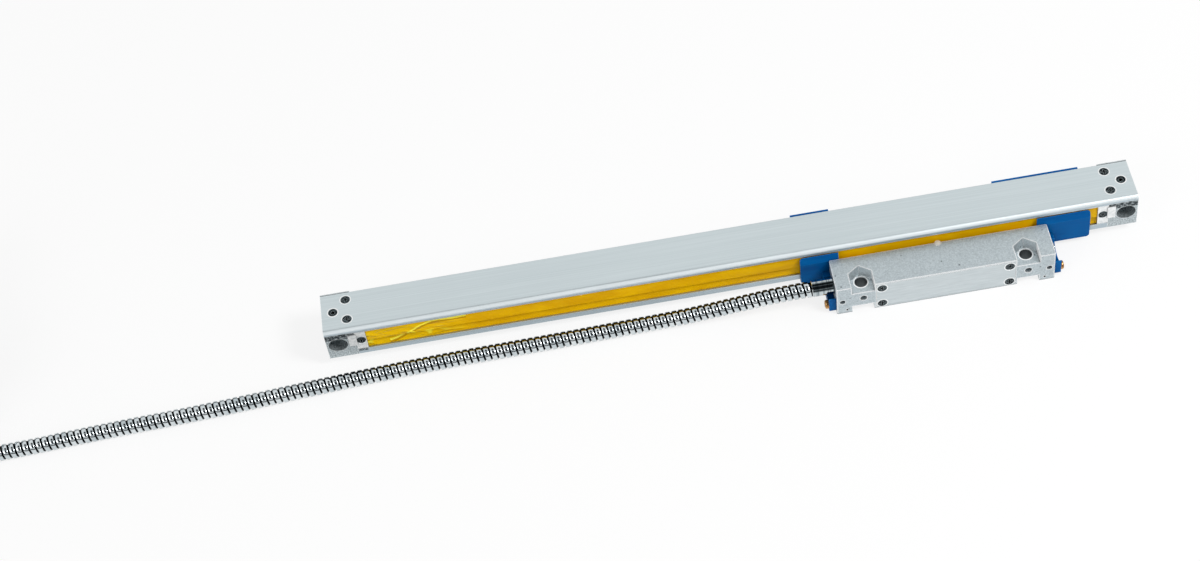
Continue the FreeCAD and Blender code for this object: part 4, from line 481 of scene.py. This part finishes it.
# Painted dark reflection on the faces turned to the camera
toward_camera = add_node(tree, "ShaderNodeVectorMath", {
    0: add_node(tree, "ShaderNodeNewGeometry").outputs["Normal"], 1: (0, -0.6, 0.8)},
    operation="DOT_PRODUCT").outputs["Value"]
camera_side_reflection = add_node(tree, "ShaderNodeMapRange", {"Value": toward_camera, "From Min": 0.80, "From Max": 0.88,
                                               "To Max": 0.8}).outputs["Result"]
tone = laid_over(tree, tone, (camera_side_reflection, "2C3A40"))
relief = add_node(tree, "ShaderNodeBump", {"Height": turned, "Strength": 0.15, "Distance": 0.04 * MM})
# Painted highlights on outer edges and painted shade in corners
feed(tree, shader, {"Base Color": edge_highlight_and_corner_shade(tree, tone, "F4F7F7", 0.3, 1, 0.3), "Metallic": 1.0,
                    "Roughness": 0.12, "Normal": relief.outputs["Normal"]})
finish_nodes(bright_nickel, "cable_ferrule", "blanking_plug")


# The cable's armour is a strip of galvanised steel wound into an interlocking hose, 7 mm over
# its ridges, with painted shade along its side turned to the housing. It leaves the ferrule, drops
# to the bench and runs off to the left, where the rest of its 3 m lies in an oval coil with the plug on
# top.
MOUTH_X = 32.1
CORD_START = (MOUTH_X, -32.0, -2.6)
LEAD_POINTS = (
    (-12.1, -32.0, -2.6), (-32.1, -31.7, -5.0), (-53.1, -30.9, -8.3), (-78.1, -30.6, -9.5),
    (-114.1, -31.4, -9.5), (-162.1, -31.9, -9.5), (-210.1, -34.0, -9.5), (-260.1, -37.4, -9.5),
    (-308.1, -38.7, -9.5), (-346.1, -40.9, -9.5), (-382.0, -40.9, -9.5),
)
TAIL_POINTS = (
    (0.3, -38.5, 3.8), (-30.33, -38.5, 3.8), (-52.0, -16.8, 5.2), (-52.0, 13.8, 6.8),
    (-30.33, 35.5, 8.0), (-2.7, 35.5, 8.0), (0.3, 35.5, 8.0),
)
CORD_DIA = 7.0
COIL_X = -387.5
COIL_Y = 1.1
COIL_TOP = 15.0
COIL_STRAIGHT = 30.0
COIL_OUTER = 42.0
COIL_TURNS = 8
POINTS_PER_CIRCLE = 12
LIE_Z = -9.5
STEP_FROM = 0.56
STEP_TO = 0.98
SWING = 2.6
END_RISES_FROM = 7.58
END_RISEN = 7.9
END_SWUNG = 7.95
END_RISE = 7.3
END_DRAWN_FROM = 7.85
END_DRAWN_IN = 3.5
STEPS_OVER = ((0, 1), (2, -1), (4, 1), (6, -1))
STEPS_UP = ((1, -1), (3, 1), (5, -1))
PITCH = 2.85
HOUSING_SHADE_FADES_FROM_X = -205
HOUSING_SHADE_FULL_FROM_X = -175


def eased(value, low, high):
    """0 below low, 1 above high, and a smooth rise between them."""
    share = min(max((value - low) / (high - low), 0.0), 1.0)
    return share * share * (3 - 2 * share)


def hump(value, low, high):
    """0 outside low and high, and up to 1 halfway between them."""
    return math.sin(math.pi * min(max((value - low) / (high - low), 0.0), 1.0))


# The turns lie two beside each other in four layers. In one corner of the oval each turn steps
# over to the next place, and one that climbs swings aside there to clear the one that crosses.
route = [CORD_START] + [(MOUTH_X + x, y, z) for x, y, z in LEAD_POINTS]
arc = [(k + 0.5) / POINTS_PER_CIRCLE for k in range(POINTS_PER_CIRCLE)]
half_circle = POINTS_PER_CIRCLE // 2
for number in range(COIL_TURNS):
    for part in [0.0, *arc[:half_circle], 0.5, *arc[half_circle:]]:
        turn = number + part
        across = sum(sign * eased(turn, n + STEP_FROM, n + STEP_TO) for n, sign in STEPS_OVER)
        layer = sum(eased(turn, n + STEP_FROM, n + STEP_TO) for n, _ in STEPS_UP)
        aside = sum(sign * hump(turn, n + STEP_FROM, n + STEP_TO) for n, sign in STEPS_UP)
        aside += hump(turn, END_RISES_FROM, END_SWUNG)
        drawn_in = END_DRAWN_IN * eased(turn, END_DRAWN_FROM, COIL_TURNS)
        radius = COIL_OUTER - CORD_DIA * across + SWING * aside - drawn_in
        angle = -math.pi / 2 - 2 * math.pi * turn
        x = COIL_X
        if part % 0.5:
            x += COIL_STRAIGHT / 2 * (-1 if part < 0.5 else 1)
            radius /= math.cos(math.pi / POINTS_PER_CIRCLE)
        route.append((x + radius * math.cos(angle), COIL_Y + radius * math.sin(angle),
                      LIE_Z + CORD_DIA * layer + END_RISE * eased(turn, END_RISES_FROM, END_RISEN)))
route.extend((COIL_X + x, COIL_Y + y, COIL_TOP + z) for x, y, z in TAIL_POINTS)

line_data = bpy.data.curves.new("cable_route", "CURVE")
line_data.dimensions = "3D"
line_data.resolution_u = 12
spline = line_data.splines.new("NURBS")
spline.points.add(len(route) - 1)
for point, (x, y, z) in zip(spline.points, route):
    point.co = (x * MM, y * MM, z * MM, 1)
spline.order_u = 3
spline.use_endpoint_u = True
line_object = bpy.data.objects.new("cable_route", line_data)
bpy.context.scene.collection.objects.link(line_object)
bpy.context.view_layer.update()
line_mesh = bpy.data.meshes.new_from_object(line_object)
bpy.data.objects.remove(line_object)

# The zinc is cloudy in patches of 8 mm, and the groove between two turns carries painted shade
galvanised, tree, shader, place = start_finish("galvanised_steel_strip")
_, tone = mottled(tree, place, 120.0, 2.0, "BAC4C8", "E2E8EA", 0.3, 0.7)
depth = add_node(tree, "ShaderNodeAttribute", attribute_name="groove")
shaded_groove = add_node(tree, "ShaderNodeMapRange", {"Value": depth.outputs["Fac"], "From Min": 0.1,
                                             "From Max": 0.6}).outputs["Result"]
facing = add_node(tree, "ShaderNodeSeparateXYZ", {
    "Vector": add_node(tree, "ShaderNodeNewGeometry").outputs["Normal"]}).outputs
spot = add_node(tree, "ShaderNodeSeparateXYZ", {"Vector": place}).outputs
# Painted shade on the side turned towards the housing: full beside it, fading out to its left
limits = []
for measure, start, end, most in ((facing["Y"], 0.03, 0.17, 0.97), (facing["Y"], 0.75, 0.45, 1.0),
                                  (spot["X"], HOUSING_SHADE_FADES_FROM_X * MM, HOUSING_SHADE_FULL_FROM_X * MM,
                                   1.0)):
    limits.append(add_node(tree, "ShaderNodeMapRange", {"Value": measure, "From Min": start,
                                                        "From Max": end, "To Max": most}).outputs["Result"])
# Painted shade in the grooves and on the side turned to the housing
tone = laid_over(tree, tone, (shaded_groove, "0C1114"), (all_of(tree, *limits), "0C1114"))
rough = add_node(tree, "ShaderNodeMapRange", {"Value": shaded_groove, "To Min": 0.13, "To Max": 0.7})
feed(tree, shader, {"Base Color": tone, "Metallic": 1.0, "Roughness": rough.outputs["Result"]})

# The strip's section in mm, outwards and along the cable. Both edges are folded down to interlock.
STRIP =((-0.74, -1.45), (-0.66, -1.02), (-0.14, -0.96), (0.0, -0.70), (0.0, 0.70), (-0.14, 0.96),
         (-0.66, 1.02), (-0.74, 1.45))
IN_GROOVE_FROM = 2.0
SHARP_FOLD = math.radians(38)
WINDING = (("Pitch", PITCH * MM), ("Radius", CORD_DIA / 2 * MM), ("Steps per turn", 12.0))
strip_data = bpy.data.curves.new("armour_strip", "CURVE")
strip_data.dimensions = "2D"
strip_spline = strip_data.splines.new("POLY")
strip_spline.points.add(len(STRIP) - 1)
for point, (out, beside) in zip(strip_spline.points, STRIP):
    point.co = (out * MM, beside * MM, 0, 1)
strip_object = bpy.data.objects.new("armour_strip", strip_data)
bpy.context.scene.collection.objects.link(strip_object)

winding = bpy.data.node_groups.new("wound_armour", "GeometryNodeTree")
winding.interface.new_socket("Geometry", in_out="INPUT", socket_type="NodeSocketGeometry")
identifiers = {}
for name, value in WINDING:
    socket = winding.interface.new_socket(name, in_out="INPUT", socket_type="NodeSocketFloat")
    socket.default_value = value
    identifiers[name] = socket.identifier
winding.interface.new_socket("Geometry", in_out="OUTPUT", socket_type="NodeSocketGeometry")
given = add_node(winding, "NodeGroupInput").outputs
step_length = add_node(winding, "ShaderNodeMath", {0: given["Pitch"], 1: given["Steps per turn"]},
                       operation="DIVIDE").outputs["Value"]
line = add_node(winding, "GeometryNodeMeshToCurve", {"Mesh": given["Geometry"]}).outputs["Curve"]
stepped = add_node(winding, "GeometryNodeResampleCurve", {"Curve": line, "Length": step_length},
                   mode="LENGTH")
number = add_node(winding, "GeometryNodeInputIndex").outputs["Index"]
share = add_node(winding, "ShaderNodeMath", {0: number, 1: given["Steps per turn"]}, operation="DIVIDE")
angle = add_node(winding, "ShaderNodeMath", {0: share.outputs["Value"], 1: 2 * math.pi},
                 operation="MULTIPLY")
outward = add_node(winding, "ShaderNodeVectorRotate", {
    "Vector": add_node(winding, "GeometryNodeInputNormal").outputs["Normal"],
    "Axis": add_node(winding, "GeometryNodeInputTangent").outputs["Tangent"],
    "Angle": angle.outputs["Value"]}, rotation_type="AXIS_ANGLE")
marked = add_node(winding, "GeometryNodeStoreNamedAttribute", {
    "Geometry": stepped.outputs["Curve"], "Name": "outward", "Value": outward.outputs["Vector"]},
    data_type="FLOAT_VECTOR", domain="POINT")
held = add_node(winding, "GeometryNodeInputNamedAttribute", {"Name": "outward"},
                data_type="FLOAT_VECTOR").outputs["Attribute"]
reach = add_node(winding, "ShaderNodeVectorMath", {0: held, "Scale": given["Radius"]}, operation="SCALE")
wound = add_node(winding, "GeometryNodeSetPosition", {"Geometry": marked.outputs["Geometry"],
                                                      "Offset": reach.outputs["Vector"]})
aimed = add_node(winding, "GeometryNodeSetCurveNormal", {"Curve": wound.outputs["Geometry"],
                                                         "Normal": held}, mode="FREE")
section = add_node(winding, "GeometryNodeObjectInfo", {"Object": strip_object})
strip = add_node(winding, "GeometryNodeCurveToMesh", {
    "Curve": aimed.outputs["Curve"], "Profile Curve": section.outputs["Geometry"]})
corner = add_node(winding, "ShaderNodeMath", {
    0: add_node(winding, "GeometryNodeInputIndex").outputs["Index"], 1: len(STRIP)}, operation="MODULO")
centred = add_node(winding, "ShaderNodeMath", {0: corner.outputs["Value"], 1: (len(STRIP) - 1) / 2},
                   operation="SUBTRACT")
to_middle = add_node(winding, "ShaderNodeMath", {0: centred.outputs["Value"]}, operation="ABSOLUTE")
in_groove = add_node(winding, "ShaderNodeMath", {0: to_middle.outputs["Value"], 1: IN_GROOVE_FROM},
                     operation="GREATER_THAN")
grooved = add_node(winding, "GeometryNodeStoreNamedAttribute", {
    "Geometry": strip.outputs["Mesh"], "Name": "groove", "Value": in_groove.outputs["Value"]},
    data_type="FLOAT", domain="POINT")
fold = add_node(winding, "GeometryNodeInputMeshEdgeAngle").outputs["Unsigned Angle"]
soft = add_node(winding, "ShaderNodeMath", {0: fold, 1: SHARP_FOLD}, operation="LESS_THAN")
smooth = add_node(winding, "GeometryNodeSetShadeSmooth", {0: grooved.outputs["Geometry"],
                                                          "Shade Smooth": soft.outputs["Value"]},
                  domain="EDGE")
whole = add_node(winding, "GeometryNodeRealizeInstances", {"Geometry": smooth.outputs[0]})
painted = add_node(winding, "GeometryNodeSetMaterial", {"Geometry": whole.outputs["Geometry"],
                                                        "Material": galvanised})
add_node(winding, "NodeGroupOutput", {"Geometry": painted.outputs["Geometry"]})

line_holder = bpy.data.objects.new("cable_line", line_mesh)
bpy.context.scene.collection.objects.link(line_holder)
modifier = line_holder.modifiers.new("winding", "NODES")
modifier.node_group = winding
for name, value in WINDING:
    modifier[identifiers[name]] = value
bpy.context.view_layer.update()
depsgraph = bpy.context.evaluated_depsgraph_get()
armour_mesh = bpy.data.meshes.new_from_object(line_holder.evaluated_get(depsgraph))
bpy.data.objects.remove(line_holder)
bpy.data.objects.remove(strip_object)
armour_mesh.name = "cable_armour"
armour = bpy.data.objects.new("cable_armour", armour_mesh)
bpy.context.scene.collection.objects.link(armour)
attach(armour, "scanning_head")
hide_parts("cable_lead", "cable_coil", "cable_tail")


# The cable ends in a nine-way plug. Its two hood halves are moulded in dark grey plastic, with
# a nickel-plated steel shell, a black insulator and gold-plated contacts.
hood_plastic, tree, shader, place = start_finish("moulded_grey_hood_plastic")
skin, tone = mottled(tree, place, 1200.0, 4.0, "3A3D41", "55595E")
relief = add_node(tree, "ShaderNodeBump", {"Height": skin, "Strength": 0.4, "Distance": 0.1 * MM})
feed(tree, shader, {"Base Color": tone, "Roughness": 0.5, "Normal": relief.outputs["Normal"]})
finish_nodes(hood_plastic, "plug_hood_upper", "plug_hood_lower")
finish_nodes(nickel, "plug_shell", "plug_jack_screws")

insulator, tree, shader, place = start_finish("black_polyester_insulator")
_, tone = mottled(tree, place, 1500.0, 2.0, "131415", "232527")
feed(tree, shader, {"Base Color": tone, "Roughness": 0.4})
finish_nodes(insulator, "plug_insert")

gold, tree, shader, place = start_finish("gold_plated_brass")
_, tone = mottled(tree, place, 900.0, 2.0, "D6A94A", "F0CC77")
feed(tree, shader, {"Base Color": tone, "Metallic": 1.0, "Roughness": 0.2})
finish_nodes(gold, "plug_contacts")


# The bench is a plain white sheet under the object. It is matt, keeps the object's soft shadow,
# and the camera and the metals see it nearly pure white.
FLOOR_Z = -13.1 * MM
# The sheet reaches 5 m to each side, past all that the camera and the metals see
REACH = 5
GLOW = 0.8
WHITE = (1, 1, 1, 1)
floor_mesh = bpy.data.meshes.new("bench")
floor_mesh.from_pydata([(-REACH, -REACH, FLOOR_Z), (REACH, -REACH, FLOOR_Z), (REACH, REACH, FLOOR_Z),
                        (-REACH, REACH, FLOOR_Z)], [], [(0, 1, 2, 3)])
floor = bpy.data.objects.new("bench", floor_mesh)
bpy.context.scene.collection.objects.link(floor)
paper = bpy.data.materials.new("white_paper_sheet")
paper.use_nodes = True
tree = paper.node_tree
tree.nodes.clear()
matt = add_node(tree, "ShaderNodeBsdfDiffuse", {"Color": linear("F7F7F7")})
white = add_node(tree, "ShaderNodeEmission", {"Color": WHITE, "Strength": 1.0})
rays = add_node(tree, "ShaderNodeLightPath").outputs
seen = rays["Is Camera Ray"]
for kind in ("Is Glossy Ray", "Is Transmission Ray"):
    seen = add_node(tree, "ShaderNodeMath", {0: seen, 1: rays[kind]}, operation="MAXIMUM").outputs[0]
sheet_look = add_node(tree, "ShaderNodeMixShader", {"Fac": all_of(tree, seen, GLOW),
                                                    1: matt.outputs["BSDF"], 2: white.outputs["Emission"]})
add_node(tree, "ShaderNodeOutputMaterial", {"Surface": sheet_look.outputs["Shader"]})
floor_mesh.materials.append(paper)


# The studio is a white tent with one large lamp at the upper right and a weak one at the left.
# Polished metal mirrors the dark room below the tent's edge and its two dark gaps, one for the
# camera and one at the top.
# Each gap's direction, and the cosines of the angles at which it begins and is full
GAPS = (((-0.0065, -0.6294, 0.7771), 0.88, 0.95), ((0, 0.06, 0.998), 0.93, 0.975))
world = bpy.data.worlds.new("white_tent")
bpy.context.scene.world = world
world.use_nodes = True
tree = world.node_tree
tree.nodes.clear()
rays = add_node(tree, "ShaderNodeLightPath").outputs
ahead = add_node(tree, "ShaderNodeTexCoord").outputs["Generated"]
heading = add_node(tree, "ShaderNodeSeparateXYZ", {"Vector": ahead})
tent = add_node(tree, "ShaderNodeValToRGB", {"Fac": heading.outputs["Z"]})
tent.color_ramp.elements[0].position = 0.16
tent.color_ramp.elements[0].color = (0.05, 0.055, 0.06, 1)
tent.color_ramp.elements[1].position = 0.40
tent.color_ramp.elements[1].color = WHITE
gaps = []
for toward, outer, inner in GAPS:
    nearness = add_node(tree, "ShaderNodeVectorMath", {0: ahead, 1: toward}, operation="DOT_PRODUCT")
    gaps.append(add_node(tree, "ShaderNodeMapRange", {"Value": nearness.outputs["Value"],
                                                      "From Min": outer, "From Max": inner}))
gap = add_node(tree, "ShaderNodeMath", {0: gaps[0].outputs["Result"], 1: gaps[1].outputs["Result"]},
               operation="MAXIMUM")
mirrored_colour = add_node(tree, "ShaderNodeMix", {"Factor": gap.outputs[0], "A": tent.outputs["Color"],
                                                   "B": (0.03, 0.035, 0.04, 1)}, data_type="RGBA")
mirrored = add_node(tree, "ShaderNodeBackground", {"Color": mirrored_colour.outputs["Result"],
                                                   "Strength": 0.95})
lighting = add_node(tree, "ShaderNodeBackground", {"Color": WHITE, "Strength": 0.5})
backdrop = add_node(tree, "ShaderNodeBackground", {"Color": WHITE, "Strength": 1.0})
shiny = add_node(tree, "ShaderNodeMath", {0: rays["Is Glossy Ray"], 1: rays["Is Transmission Ray"]},
                 operation="MAXIMUM")
unseen = add_node(tree, "ShaderNodeMixShader", {"Fac": shiny.outputs[0], 1: lighting.outputs[0],
                                                2: mirrored.outputs[0]})
sky = add_node(tree, "ShaderNodeMixShader", {"Fac": rays["Is Camera Ray"], 1: unseen.outputs[0],
                                             2: backdrop.outputs[0]})
add_node(tree, "ShaderNodeOutputWorld", {"Surface": sky.outputs[0]})

# Each lamp's name, its place and width in metres, and its power in watts
for name, spot, size, power in (("key_lamp", (0.95, -0.55, 1.25), 0.5, 16.0),
                                ("fill_lamp", (-1.2, -0.9, 0.9), 1.0, 5.0)):
    lamp_data = bpy.data.lights.new(name, "AREA")
    lamp_data.shape = "DISK"
    lamp_data.size = size
    lamp_data.energy = power
    lamp = bpy.data.objects.new(name, lamp_data)
    lamp.location = spot
    lamp.rotation_euler = (-Vector(spot)).to_track_quat("-Z", "Y").to_euler()
    bpy.context.scene.collection.objects.link(lamp)


# The camera stands in front and above, a little left of the scale's middle. Its place is in mm,
# and its two directions are the picture's right and the way that it looks.
CAMERA_PLACE = (-61.98, -676.32, 822.12)
PICTURE_RIGHT = (0.98598, -0.13361, -0.09994)
LOOKS_ALONG = (0.00652, 0.62938, -0.77707)
camera_data = bpy.data.cameras.new("camera")
camera_data.lens = 73.72
camera_data.sensor_width = 36.0
camera_data.sensor_fit = "HORIZONTAL"
camera_data.shift_x = -0.0019
camera_data.clip_start = 0.02
camera_data.clip_end = 30.0
camera = bpy.data.objects.new("camera", camera_data)
back = -Vector(LOOKS_ALONG).normalized()
up = back.cross(Vector(PICTURE_RIGHT).normalized()).normalized()
right = up.cross(back).normalized()
turn = Matrix((right, up, back)).transposed().to_4x4()
camera.matrix_world = Matrix.Translation(Vector(CAMERA_PLACE) * MM) @ turn
bpy.context.scene.collection.objects.link(camera)
bpy.context.scene.camera = camera
bpy.context.scene.view_settings.view_transform = "Standard"
